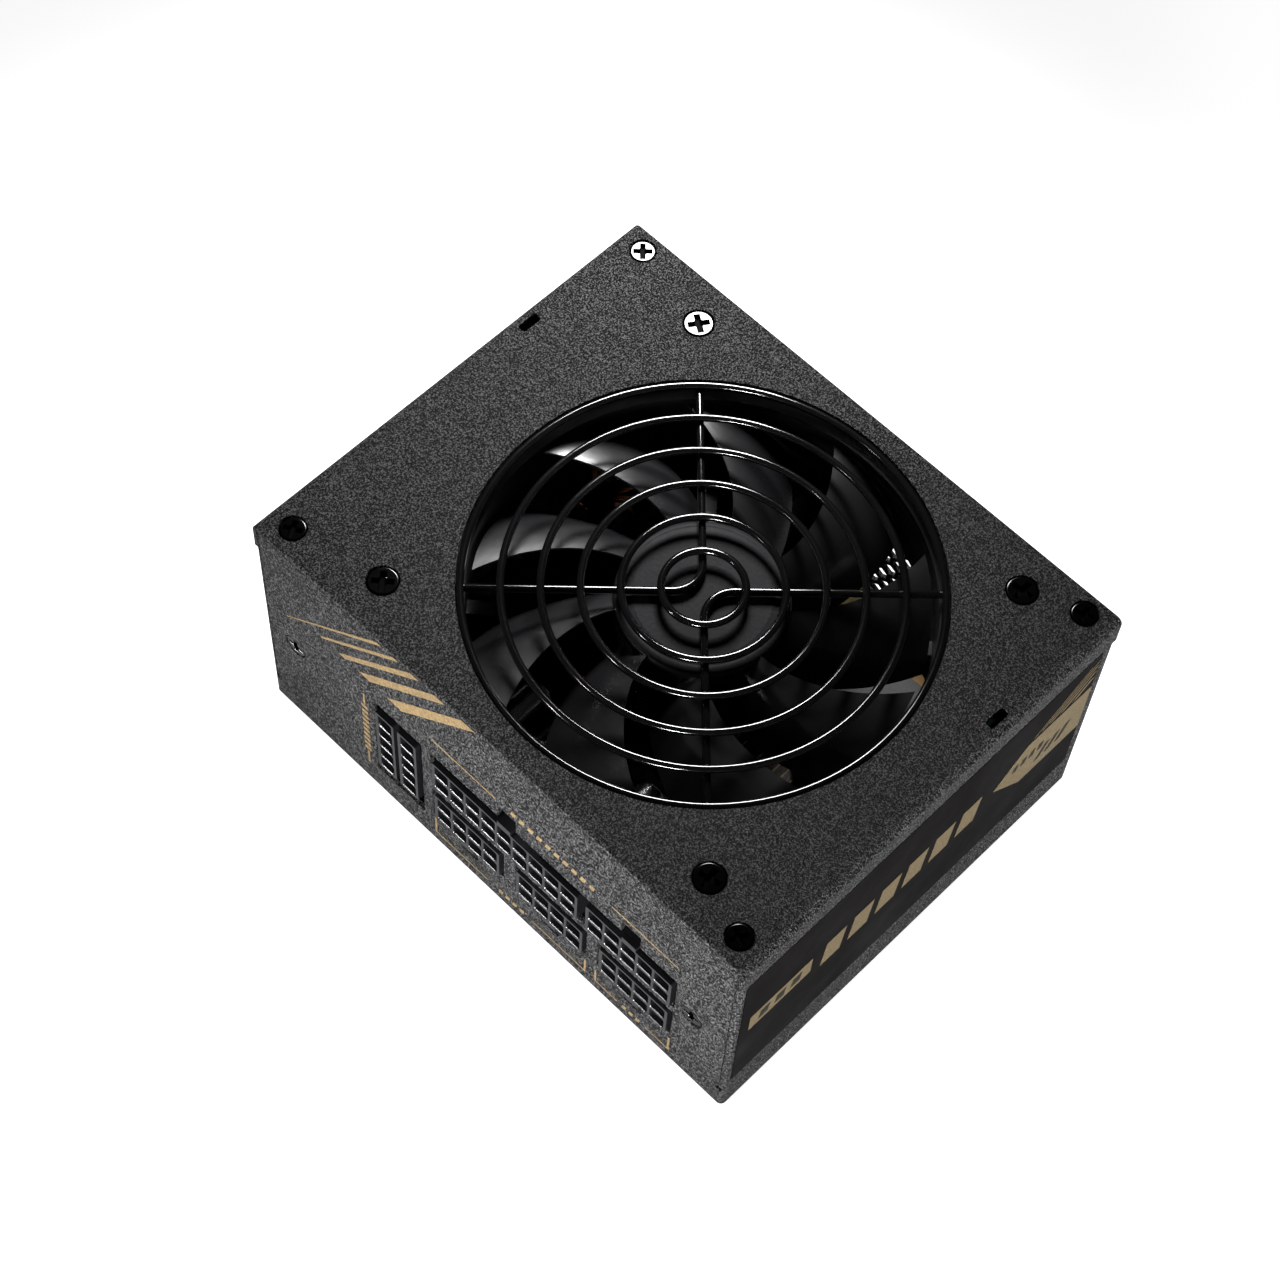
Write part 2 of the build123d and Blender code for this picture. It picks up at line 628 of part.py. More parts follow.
# Flat cover with short side flanges and the fan opening.
with BuildPart() as top_cover:
    with BuildSketch(Plane.XY.offset(HEIGHT - FLANGE_HEIGHT)):
        Rectangle(WIDTH, DEPTH)
    extrude(amount=FLANGE_HEIGHT)
    fillet(top_cover.edges().filter_by(Axis.Y).group_by(Axis.Z)[-1], BEND_R)
    fillet(top_cover.edges().filter_by(Axis.X).group_by(Axis.Z)[-1], EDGE_R)
    with BuildSketch(Plane.XY.offset(HEIGHT - FLANGE_HEIGHT)):
        Rectangle(WIDTH - 2 * SHEET, DEPTH)
    extrude(amount=FLANGE_HEIGHT - SHEET, mode=Mode.SUBTRACT)
    with BuildSketch(Plane.XY.offset(WALL_TOP)):
        with Locations((FAN_X, FAN_Y)):
            Circle(OPENING_R)
        with Locations(*[(side * COVER_SLOT_POS[0], COVER_SLOT_POS[1]) for side in (-1, 1)]):
            RectangleRounded(*COVER_SLOT, COVER_SLOT_R)
    extrude(amount=SHEET, mode=Mode.SUBTRACT)
    for x, y in COVER_CORNERS:
        with Locations((x, y, HEIGHT)):
            add(countersink(*COVER_SCREW), mode=Mode.SUBTRACT)
    for x, y in FAN_CORNERS:
        with Locations((x, y, HEIGHT)):
            add(countersink(*FAN_SCREW), mode=Mode.SUBTRACT)
pieces["top_cover"] = top_cover

with BuildPart() as cover_screws:
    with Locations(*turned(COVER_CORNERS, COVER_SCREW_TURNS)):
        add(countersunk_screw(*COVER_SCREW))
pieces["cover_screws"] = cover_screws

with BuildPart() as fan_screws:
    with Locations(*turned(FAN_CORNERS, FAN_SCREW_TURNS)):
        add(countersunk_screw(*FAN_SCREW))
pieces["fan_screws"] = fan_screws

with BuildPart() as panel_screws:
    for x, z in PANEL_SCREW_POS:
        with Locations(Location((x, -DEPTH / 2 + HEAD_SINK, z), (90, 0, 0))):
            add(countersunk_screw(*PANEL_SCREW))
pieces["panel_screws"] = panel_screws

# Wire fan guard: concentric rings welded on two bent spokes with eyelets at the fan screws.
with BuildPart() as fan_guard:
    for side in (-1, 1):
        ends = [(x, y) for x, y in FAN_CORNERS if (x - FAN_X) * side > 0]
        inset = EYELET_R / (FAN_HOLE_SPACING / 2) / 2**0.5
        tips = [(x + (FAN_X - x) * inset, y + (FAN_Y - y) * inset) for x, y in ends]
        with BuildLine(Plane.XY.offset(SPOKE_Z)) as spoke:
            FilletPolyline(tips[0], (FAN_X, FAN_Y), tips[1], radius=SPOKE_BEND)
        with BuildSketch(Plane(origin=spoke.line @ 0, z_dir=spoke.line % 0)):
            Circle(WIRE_R)
        sweep()
    with Locations(*[(x, y, SPOKE_Z) for x, y in FAN_CORNERS]):
        Torus(EYELET_R, WIRE_R)
    for radius in RING_RADII:
        with Locations((FAN_X, FAN_Y, RING_Z)):
            Torus(radius, WIRE_R)
pieces["fan_guard"] = fan_guard

# Fan frame: duct, corner flanges, struts and motor base with its bearing tube.
with BuildPart() as fan_frame:
    with BuildSketch(Plane.XY.offset(FAN_BOTTOM)):
        with Locations((FAN_X, FAN_Y)):
            RectangleRounded(FAN_SIZE, FAN_SIZE, 4.0)
    extrude(amount=FAN_THICKNESS)
    with BuildSketch(Plane.XY.offset(FAN_BOTTOM + FAN_FLANGE)):
        with Locations((FAN_X, FAN_Y)):
            Rectangle(FAN_SIZE, FAN_SIZE)
            Circle(FAN_SIZE / 2 - 0.8, mode=Mode.SUBTRACT)
        with Locations(*FAN_CORNERS):
            Circle(3.4, mode=Mode.SUBTRACT)
    extrude(amount=FAN_THICKNESS - 2 * FAN_FLANGE, mode=Mode.SUBTRACT)
    with Locations((FAN_X, FAN_Y, (FAN_TOP + FAN_BOTTOM) / 2)):
        Cylinder(DUCT_R, FAN_THICKNESS, mode=Mode.SUBTRACT)
    chamfer(fan_frame.faces().sort_by(Axis.Z)[-1].inner_wires().edges().group_by(SortBy.LENGTH)[-1], 1.2)
    with BuildSketch(Plane.XY.offset(FAN_BOTTOM)):
        with Locations((FAN_X, FAN_Y)):
            Circle(MOTOR_BASE_R)
    extrude(amount=MOTOR_BASE_TOP - FAN_BOTTOM)
    with BuildSketch(Plane.XY.offset(FAN_BOTTOM)):
        with Locations((FAN_X, FAN_Y)):
            with PolarLocations((DUCT_R + MOTOR_BASE_R) / 2, 4, start_angle=40):
                Rectangle(DUCT_R - MOTOR_BASE_R + 1.0, STRUT[0])
    extrude(amount=STRUT[1])
    with Locations((FAN_X, FAN_Y, (MOTOR_BASE_TOP + TUBE_TOP) / 2)):
        Cylinder(TUBE_R, TUBE_TOP - MOTOR_BASE_TOP)
    with Locations((FAN_X, FAN_Y, (MOTOR_BASE_TOP + TUBE_TOP) / 2 + 0.4)):
        Cylinder(BEARING_R, TUBE_TOP - MOTOR_BASE_TOP, mode=Mode.SUBTRACT)
    with Locations(*[(x, y, FAN_TOP) for x, y in FAN_CORNERS]):
        Hole(FAN_SCREW[2] + SCREW_CLEARANCE, depth=FAN_THICKNESS)
pieces["fan_frame"] = fan_frame

# Fan rotor: domed hub cup with nine forward-swept blades.
with BuildPart() as fan_rotor:
    blade = fan_blade()
    for i in range(BLADE_COUNT):
        with Locations(Location((0, 0, 0), (0, 0, BLADE_PHASE + 360 / BLADE_COUNT * i))):
            add(blade)
    with Locations((0, 0, (HUB_TOP + HUB_BOTTOM) / 2)):
        Cylinder(BLADE_TIP_R, 2 * FAN_THICKNESS, mode=Mode.INTERSECT)
    with BuildSketch(Plane.XZ):
        with BuildLine():
            hub_side = Line((HUB_R, HUB_BOTTOM), (HUB_R, HUB_TOP - HUB_EDGE))
            hub_edge = TangentArc(hub_side @ 1, (HUB_R - HUB_EDGE, HUB_TOP - HUB_DOME), tangent=(0, 1))
            crown = (HUB_R - 2 * HUB_EDGE, HUB_TOP)
            Polyline(hub_edge @ 1, crown, (0, HUB_TOP), (0, HUB_BOTTOM), hub_side @ 0)
        make_face()
    revolve(axis=Axis.Z)
    with BuildSketch(Plane.XY.offset(HUB_BOTTOM - 1)):
        Circle(CUP_R)
    extrude(amount=CUP_TOP - HUB_BOTTOM + 1, mode=Mode.SUBTRACT)
    with Locations((0, 0, CUP_TOP - 1)):
        Cylinder(3.0, 2.0)
    with Locations((0, 0, centre(SHAFT_SPAN))):
        Cylinder(SHAFT_R, length(SHAFT_SPAN), mode=Mode.SUBTRACT)
fan_rotor.part = fan_rotor.part.moved(Location((FAN_X, FAN_Y, 0)))
pieces["fan_rotor"] = fan_rotor

# Fan motor parts on the rotor side.
with BuildPart() as rotor_yoke:
    add(tube(CUP_R, MAGNET_R[1], (HUB_BOTTOM + 0.4, CUP_TOP), (FAN_X, FAN_Y)))
pieces["rotor_yoke"] = rotor_yoke

with BuildPart() as rotor_magnet:
    add(tube(MAGNET_R[1], MAGNET_R[0], MAGNET_SPAN, (FAN_X, FAN_Y)))
pieces["rotor_magnet"] = rotor_magnet

with BuildPart() as fan_shaft:
    add(tube(SHAFT_R, 0, SHAFT_SPAN, (FAN_X, FAN_Y)))
    chamfer(fan_shaft.edges().filter_by(GeomType.CIRCLE), 0.25)
pieces["fan_shaft"] = fan_shaft

# Fan motor parts on the frame side.
with BuildPart() as fan_bearing:
    add(tube(BEARING_R, SHAFT_R + SHAFT_CLEARANCE, BEARING_SPAN, (FAN_X, FAN_Y)))
pieces["fan_bearing"] = fan_bearing

with BuildPart() as stator_core:
    with BuildSketch(Plane.XY.offset(STATOR_SPAN[0])):
        with Locations((FAN_X, FAN_Y)):
            Circle(POLE_R[1])
            Circle(POLE_R[0], mode=Mode.SUBTRACT)
            with PolarLocations((POLE_R[0] + POLE_R[1]) / 2, 4, start_angle=45):
                Rectangle(3.0, 3.2, mode=Mode.SUBTRACT)
            with PolarLocations((TUBE_R + POLE_R[0]) / 2 + 0.3, 4):
                Rectangle(POLE_R[0] - TUBE_R + 0.8, 2.6)
            Circle(TUBE_R + 2.0)
            Circle(TUBE_R, mode=Mode.SUBTRACT)
    extrude(amount=length(STATOR_SPAN))
pieces["stator_core"] = stator_core

with BuildPart() as stator_coils:
    with Locations((FAN_X, FAN_Y, centre(STATOR_SPAN))):
        with PolarLocations((TUBE_R + 2.0 + POLE_R[0]) / 2, 4):
            Box(4.0, 6.0, length(STATOR_SPAN) + 2.2)
            Box(4.4, 2.6, length(STATOR_SPAN), mode=Mode.SUBTRACT)
    fillet(stator_coils.edges().filter_by(Axis.Z).group_by(SortBy.LENGTH)[-1], 0.6)
pieces["stator_coils"] = stator_coils

with BuildPart() as fan_circuit_board:
    add(tube(MOTOR_BASE_R - 3.0, TUBE_R, (MOTOR_BASE_TOP, MOTOR_BASE_TOP + 0.8), (FAN_X, FAN_Y)))
pieces["fan_circuit_board"] = fan_circuit_board

# Smooth label on the +X wall and the plain rating label on the -X wall.
with BuildPart() as side_label:
    with BuildSketch(Plane.YZ.offset(BASE_WIDTH / 2)):
        with Locations((centre(LABEL_Y), centre(LABEL_Z))):
            RectangleRounded(length(LABEL_Y), length(LABEL_Z), LABEL_CORNER_R)
    extrude(amount=LABEL_THICKNESS)
pieces["side_label"] = side_label

with BuildPart() as rating_label:
    with BuildSketch(Plane.YZ.offset(-BASE_WIDTH / 2)):
        with Locations((0, RATING_LABEL_Z)):
            RectangleRounded(*RATING_LABEL, RATING_CORNER_R)
    extrude(amount=-LABEL_THICKNESS)
pieces["rating_label"] = rating_label

# Mains inlet: flanged shell with a chamfered cavity and three blades.
with BuildPart() as inlet_housing:
    with BuildSketch(REAR):
        with Locations((-INLET_X, INLET_Z)):
            RectangleRounded(INLET_FLANGE[0], INLET_FLANGE[1], 2.0)
    extrude(amount=INLET_FLANGE[2])
    with BuildSketch(REAR):
        with Locations((-INLET_X, INLET_Z)):
            RectangleRounded(*INLET_BODY, 1.0)
    extrude(amount=-(DEPTH / 2 - INLET_BACK))
    with BuildSketch(REAR.offset(INLET_FLANGE[2])) as cavity:
        with Locations((-INLET_X, INLET_Z)):
            Rectangle(*INLET_CAVITY)
        chamfer(cavity.vertices().group_by(Axis.Z)[-1], INLET_CHAMFER)
        fillet(cavity.vertices(), 0.8)
    extrude(amount=-INLET_CAVITY_DEPTH, mode=Mode.SUBTRACT)
    with BuildSketch(REAR):
        with Locations(*[(-INLET_X + x, INLET_Z + z) for x, z in INLET_PINS]):
            Rectangle(*INLET_PIN)
    extrude(amount=-(DEPTH / 2 - INLET_BACK), mode=Mode.SUBTRACT)
pieces["inlet_housing"] = inlet_housing

with BuildPart() as inlet_pins:
    with BuildSketch(Plane.XZ.offset(-INLET_PIN_SPAN[1])):
        with Locations(*[(INLET_X + x, INLET_Z + z) for x, z in INLET_PINS]):
            Rectangle(*INLET_PIN)
    extrude(amount=length(INLET_PIN_SPAN))
    chamfer(inlet_pins.faces().group_by(Axis.Y)[-1].edges(), 0.5)
pieces["inlet_pins"] = inlet_pins

# Rocker switch: flanged frame, tilting button and rear terminals.
with BuildPart() as switch_frame:
    with BuildSketch(REAR):
        with Locations((-SWITCH_X, SWITCH_Z)):
            RectangleRounded(SWITCH_FLANGE[0], SWITCH_FLANGE[1], 1.0)
    extrude(amount=SWITCH_FLANGE[2])
    with BuildSketch(REAR):
        with Locations((-SWITCH_X, SWITCH_Z)):
            Rectangle(*SWITCH_BODY)
    extrude(amount=-(DEPTH / 2 - SWITCH_BACK))
    with BuildSketch(REAR.offset(SWITCH_FLANGE[2])):
        with Locations((-SWITCH_X, SWITCH_Z)):
            Rectangle(*SWITCH_OPENING)
    extrude(amount=-(DEPTH / 2 + SWITCH_FLANGE[2] - SWITCH_BACK - 1.5), mode=Mode.SUBTRACT)
    with Locations(Location((SWITCH_X, ROCKER_PIVOT_Y, SWITCH_Z), (0, 90, 0))):
        Cylinder(ROCKER_PIN_R + 0.08, SWITCH_BODY[0] - 0.8, mode=Mode.SUBTRACT)
    with BuildSketch(Plane.XZ.offset(-SWITCH_BACK - 1.5)):
        with Locations(*[(SWITCH_X, SWITCH_Z + z) for z in SWITCH_TERMINAL_ZS]):
            Rectangle(*SWITCH_TERMINAL[:2])
    extrude(amount=1.5, mode=Mode.SUBTRACT)
pieces["switch_frame"] = switch_frame

with BuildPart() as switch_rocker:
    with BuildSketch(Plane.YZ.offset(-ROCKER_WIDTH / 2)) as rocker_side:
        with BuildLine():
            Polyline(*ROCKER_PROFILE, close=True)
        make_face()
        fillet(rocker_side.vertices(), 0.6)
    extrude(amount=ROCKER_WIDTH)
    with Locations(Location((0, 0, 0), (0, 90, 0))):
        Cylinder(ROCKER_PIN_R, SWITCH_BODY[0] - 1.0)
tilt = Location((SWITCH_X, ROCKER_PIVOT_Y, SWITCH_Z), (-ROCKER_TILT, 0, 0))
switch_rocker.part = switch_rocker.part.moved(tilt)
pieces["switch_rocker"] = switch_rocker

with BuildPart() as switch_terminals:
    with BuildSketch(Plane.XZ.offset(-SWITCH_BACK - 2.0)):
        with Locations(*[(SWITCH_X, SWITCH_Z + z) for z in SWITCH_TERMINAL_ZS]):
            Rectangle(*SWITCH_TERMINAL[:2])
    extrude(amount=SWITCH_TERMINAL[2])
pieces["switch_terminals"] = switch_terminals

# Floor insulation, standoffs, main board and its screws.
with BuildPart() as insulation_sheet:
    block(INSULATION_X, INSULATION_Y, (SHEET, SHEET + SHEET_GAP))
    with Locations(*[(x, y, SHEET + SHEET_GAP) for x, y in BOARD_HOLES]):
        Hole(INSULATION_HOLE_R, depth=SHEET_GAP)
pieces["insulation_sheet"] = insulation_sheet

with BuildPart() as board_standoffs:
    with BuildSketch(Plane.XY.offset(SHEET)):
        with Locations(*BOARD_HOLES):
            RegularPolygon(STANDOFF_FLATS / 2, 6, major_radius=False)
            Circle(BOARD_HOLE_R, mode=Mode.SUBTRACT)
    extrude(amount=BOARD_BOTTOM - SHEET)
pieces["board_standoffs"] = board_standoffs

with BuildPart() as main_board:
    block(BOARD_SPAN_X, BOARD_SPAN_Y, (BOARD_BOTTOM, BOARD_TOP))
    fillet(main_board.edges().filter_by(Axis.Z), BOARD_CORNER_R)
    with Locations(*[(x, y, BOARD_TOP) for x, y in BOARD_HOLES]):
        Hole(BOARD_HOLE_R, depth=BOARD_THICKNESS)
pieces["main_board"] = main_board

with BuildPart() as board_screws:
    with Locations(*[(x, y, BOARD_TOP + BOARD_SCREW_HEAD[1] / 2) for x, y in BOARD_HOLES]):
        Cylinder(*BOARD_SCREW_HEAD)
    with Locations(*[(x, y, BOARD_TOP - BOARD_SCREW_SHANK[1] / 2) for x, y in BOARD_HOLES]):
        Cylinder(*BOARD_SCREW_SHANK)
    fillet(board_screws.faces().group_by(Axis.Z)[-1].edges(), CORE_EDGE_R)
    with BuildSketch(Plane.XY.offset(BOARD_TOP + BOARD_SCREW_HEAD[1])):
        with Locations(*BOARD_HOLES):
            for turn in (0, 90):
                Rectangle(*BOARD_SCREW_SLOT[:2], rotation=turn)
    extrude(amount=-BOARD_SCREW_SLOT[2], mode=Mode.SUBTRACT)
pieces["board_screws"] = board_screws

# Mains filter.
with BuildPart() as filter_choke_core:
    with Locations(CHOKE_POS):
        add(wound_core(*CHOKE_CORE))
pieces["filter_choke_core"] = filter_choke_core

with BuildPart() as filter_choke_windings:
    with Locations(CHOKE_POS):
        add(winding(*CHOKE_CORE, *CHOKE_WINDING))
pieces["filter_choke_windings"] = filter_choke_windings

with BuildPart() as film_capacitor:
    on_board(*FILM_CAPACITOR)
    fillet(film_capacitor.edges().filter_by(Axis.Z), CASE_EDGE_R)
pieces["film_capacitor"] = film_capacitor

with BuildPart() as disc_capacitors:
    for x in DISC_XS:
        with Locations(Location((x, DISC_Y, BOARD_TOP + DISC_RISE), (0, 90, 0))):
            Cylinder(*DISC)
        leads([(x, y) for y in DISC_LEAD_YS], LEAD)
pieces["disc_capacitors"] = disc_capacitors

with BuildPart() as fuse:
    with Locations(Location((*FUSE_POS, BOARD_TOP + FUSE_RISE), (90, 0, 0))):
        Cylinder(*FUSE)
    leads([(FUSE_POS[0], y) for y in FUSE_LEAD_YS], FUSE_LEAD)
pieces["fuse"] = fuse

with BuildPart() as thermistor:
    with Locations(Location((*THERMISTOR_POS, BOARD_TOP + THERMISTOR_RISE), (0, 90, 0))):
        Cylinder(*THERMISTOR)
    leads([(THERMISTOR_POS[0], y) for y in THERMISTOR_LEAD_YS], LEAD)
pieces["thermistor"] = thermistor

# Primary side: rectifier, transistors, heatsink, boost choke and bulk capacitor.
with BuildPart() as primary_heatsink:
    on_board(*PRIMARY_PLATE)
    for fin in PRIMARY_FINS:
        on_board(*fin)
pieces["primary_heatsink"] = primary_heatsink

with BuildPart() as power_transistors:
    lead_x, lead_ys, lead_size = TRANSISTOR_LEADS
    for y in TRANSISTOR_YS:
        width = (y - TRANSISTOR_HALF, y + TRANSISTOR_HALF)
        on_board(TRANSISTOR_BODY[0], width, TRANSISTOR_BODY[1])
        on_board(TRANSISTOR_TAB[0], width, TRANSISTOR_TAB[1])
        leads([(lead_x, y + offset) for offset in lead_ys], lead_size)
pieces["power_transistors"] = power_transistors

with BuildPart() as bridge_rectifier:
    on_board(*RECTIFIER)
    lead_x, lead_ys, lead_size = RECTIFIER_LEADS
    leads([(lead_x, y) for y in lead_ys], lead_size)
pieces["bridge_rectifier"] = bridge_rectifier

with BuildPart() as boost_choke_core:
    with Locations(BOOST_POS):
        add(wound_core(*BOOST_CORE))
pieces["boost_choke_core"] = boost_choke_core

with BuildPart() as boost_choke_winding:
    with Locations(BOOST_POS):
        add(winding(*BOOST_CORE, *BOOST_WINDING))
pieces["boost_choke_winding"] = boost_choke_winding

with BuildPart() as bulk_capacitor:
    with Locations((*BULK_POS, BOARD_TOP + BULK_SIZE[1] / 2)):
        Cylinder(*BULK_SIZE)
    fillet(bulk_capacitor.edges().filter_by(GeomType.CIRCLE), 2 * CAPACITOR_EDGE_R)
    with BuildSketch(Plane.XY.offset(BOARD_TOP + BULK_SIZE[1])):
        with Locations(BULK_POS):
            for angle in (0, 60, 120):
                Rectangle(*BULK_VENT[:2], rotation=angle)
    extrude(amount=-BULK_VENT[2], mode=Mode.SUBTRACT)
pieces["bulk_capacitor"] = bulk_capacitor

# Transformers.
with BuildPart() as transformer_core:
    on_board(*CORE_OUTSIDE)
    on_board(*CORE_WINDOW, mode=Mode.SUBTRACT)
    on_board(*CORE_LEG)
pieces["transformer_core"] = transformer_core

with BuildPart() as transformer_winding:
    on_board(*WINDING_OUTSIDE)
    fillet(transformer_winding.edges().filter_by(Axis.Z), WINDING_CORNER_R)
    on_board(*WINDING_BORE, mode=Mode.SUBTRACT)
pieces["transformer_winding"] = transformer_winding

with BuildPart() as transformer_base:
    on_board(*TRANSFORMER_BASE)
pieces["transformer_base"] = transformer_base

with BuildPart() as resonant_choke:
    for layer in RESONANT_CHOKE:
        on_board(*layer)
    fillet(resonant_choke.edges().filter_by(Axis.Z), SMALL_EDGE_R)
pieces["resonant_choke"] = resonant_choke

with BuildPart() as standby_transformer:
    for layer in STANDBY_TRANSFORMER:
        on_board(*layer)
pieces["standby_transformer"] = standby_transformer

# Output side.
with BuildPart() as secondary_heatsink:
    on_board(*SECONDARY_PLATE)
    for fin in SECONDARY_FINS:
        on_board(*fin)
pieces["secondary_heatsink"] = secondary_heatsink

with BuildPart() as output_capacitors:
    capacitor_z = BOARD_TOP + OUTPUT_CAPACITOR[1] / 2
    with Locations(*[(x, y, capacitor_z) for x in OUTPUT_CAPACITOR_XS for y in OUTPUT_CAPACITOR_YS]):
        Cylinder(*OUTPUT_CAPACITOR)
    fillet(output_capacitors.edges().filter_by(GeomType.CIRCLE), CAPACITOR_EDGE_R)
pieces["output_capacitors"] = output_capacitors

with BuildPart() as control_board:
    for part in CONTROL_BOARD:
        on_board(*part)
pieces["control_board"] = control_board

with BuildPart() as converter_board:
    on_board(*CONVERTER_BOARD)
pieces["converter_board"] = converter_board

with BuildPart() as converter_chokes:
    choke_y = CONVERTER_BOARD[1][1] + CONVERTER_CHOKE[1] / 2
    with Locations(*[(x, choke_y, BOARD_TOP + CONVERTER_CHOKE_RISE) for x in CONVERTER_CHOKE_XS]):
        Box(*CONVERTER_CHOKE)
    fillet(converter_chokes.edges().filter_by(Axis.Y), CASE_EDGE_R)
pieces["converter_chokes"] = converter_chokes

# Modular output side: board, socket housings, contacts, capacitors and copper bars.
with BuildPart() as modular_board:
    modular_back = MODULAR_BOARD_FRONT + BOARD_THICKNESS
    block(MODULAR_BOARD_X, (MODULAR_BOARD_FRONT, modular_back), MODULAR_BOARD_Z)
    fillet(modular_board.edges().filter_by(Axis.Y), 1.0)
    for x, z, columns, rows in SOCKET_LAYOUT:
        with Locations(socket_location(x, z)):
            add(contact_pins(columns, rows), mode=Mode.SUBTRACT)
pieces["modular_board"] = modular_board

with BuildPart() as socket_18_way:
    with Locations(socket_location(*SOCKET_18)):
        add(socket(9, 2, 1))
pieces["socket_18_way"] = socket_18_way

with BuildPart() as socket_10_way:
    with Locations(socket_location(*SOCKET_10)):
        add(socket(5, 2, 1))
pieces["socket_10_way"] = socket_10_way

with BuildPart() as sockets_8_way:
    for position in SOCKETS_8:
        with Locations(socket_location(*position)):
            add(socket(4, 2, -1))
pieces["sockets_8_way"] = sockets_8_way

with BuildPart() as sockets_5_way:
    for position in SOCKETS_5:
        with Locations(socket_location(*position)):
            add(socket(1, 5, 0))
pieces["sockets_5_way"] = sockets_5_way

with BuildPart() as socket_contacts:
    for x, z, columns, rows in SOCKET_LAYOUT:
        with Locations(socket_location(x, z)):
            add(contact_pins(columns, rows))
pieces["socket_contacts"] = socket_contacts

with BuildPart() as polymer_capacitors:
    for x in POLYMER_CAPACITOR_XS:
        middle = (x, modular_back + POLYMER_CAPACITOR[1] / 2, POLYMER_CAPACITOR_Z)
        with Locations(Location(middle, (90, 0, 0))):
            Cylinder(*POLYMER_CAPACITOR)
    fillet(polymer_capacitors.edges().filter_by(GeomType.CIRCLE), POLYMER_EDGE_R)
pieces["polymer_capacitors"] = polymer_capacitors

with BuildPart() as copper_bars:
    for x in COPPER_BAR_XS:
        width = (x - COPPER_BAR_WIDTH / 2, x + COPPER_BAR_WIDTH / 2)
        upright = (modular_back, modular_back + COPPER_THICKNESS)
        block(width, upright, (BOARD_BOTTOM, BOARD_TOP + COPPER_BAR_RISE))
        on_board(width, (upright[1], COPPER_BAR_BACK), (0, COPPER_THICKNESS))
pieces["copper_bars"] = copper_bars

# Wiring.
with BuildPart() as mains_wires:
    for path in MAINS_PATHS:
        with BuildLine() as route:
            FilletPolyline(*path, radius=2.5)
        with BuildSketch(Plane(origin=route.line @ 0, z_dir=route.line % 0)):
            Circle(MAINS_WIRE_R)
        sweep()
pieces["mains_wires"] = mains_wires

# Wire from the earth blade, ending in a flat lug on the side wall.
with BuildPart() as ground_wire:
    with BuildLine() as route:
        FilletPolyline(*GROUND_PATH, radius=2.5)
    with BuildSketch(Plane(origin=route.line @ 0, z_dir=route.line % 0)):
        Circle(MAINS_WIRE_R)
    sweep()
    block(*GROUND_LUG)
pieces["ground_wire"] = ground_wire

with BuildPart() as fan_cable:
    for offset in (0.0, 1.5):
        with BuildLine() as route:
            FilletPolyline(*[(x, y + offset, z) for x, y, z in FAN_CABLE_PATH], radius=2.0)
        with BuildSketch(Plane(origin=route.line @ 0, z_dir=route.line % 0)):
            Circle(FAN_CABLE_R)
        sweep()
pieces["fan_cable"] = fan_cable

with BuildPart() as fan_plug:
    plug_x, plug_y = FAN_CABLE_PATH[-1][:2]
    block((plug_x - 2.5, plug_x + 2.5), (plug_y - 2.0, plug_y + 3.5), (BOARD_TOP, FAN_CABLE_PATH[-1][2]))
pieces["fan_plug"] = fan_plug

os.makedirs("parts", exist_ok=True)
for name, piece in pieces.items():
    piece.part.label = name
    export_step(piece.part, f"parts/{name}.step")
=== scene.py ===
import math

import bpy
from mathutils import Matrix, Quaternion, Vector


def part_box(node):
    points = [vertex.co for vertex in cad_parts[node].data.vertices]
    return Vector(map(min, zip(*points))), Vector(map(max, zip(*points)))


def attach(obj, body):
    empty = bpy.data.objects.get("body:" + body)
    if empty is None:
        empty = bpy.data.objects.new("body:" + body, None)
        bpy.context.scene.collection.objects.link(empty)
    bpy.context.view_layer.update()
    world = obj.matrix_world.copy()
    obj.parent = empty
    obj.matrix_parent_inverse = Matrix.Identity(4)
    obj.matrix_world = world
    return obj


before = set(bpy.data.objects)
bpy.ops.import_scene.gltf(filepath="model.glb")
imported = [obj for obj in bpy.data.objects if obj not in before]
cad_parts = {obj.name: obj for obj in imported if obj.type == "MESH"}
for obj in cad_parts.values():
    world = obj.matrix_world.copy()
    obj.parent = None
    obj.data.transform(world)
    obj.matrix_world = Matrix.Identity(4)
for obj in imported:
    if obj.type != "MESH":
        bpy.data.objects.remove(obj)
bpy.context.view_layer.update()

MM = 0.001
COVER_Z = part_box("top_cover")[1][2]
SOCKET_FACE_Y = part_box("base_chassis")[0][1]
SIDE_LABEL_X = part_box("side_label")[1][0]
RATING_LABEL_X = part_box("rating_label")[0][0]
GUARD_LOW, GUARD_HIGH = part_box("fan_guard")
PRINT_BODY = "housing"
PRINT_LIFT = 0.02 * MM
PRINT_THICKNESS = 0.03 * MM
HUB_RADIUS = 16.2 * MM
# Depth below the heads' faces where the screws' painted recess shade starts.
RECESS_SHADE = 0.4 * MM
COAT_GRAIN = 2900.0
GRAIN_UPRIGHT = 0.6


# ---------------------------------------------------------------- materials

NOISE_ROUGHNESS = 0.55


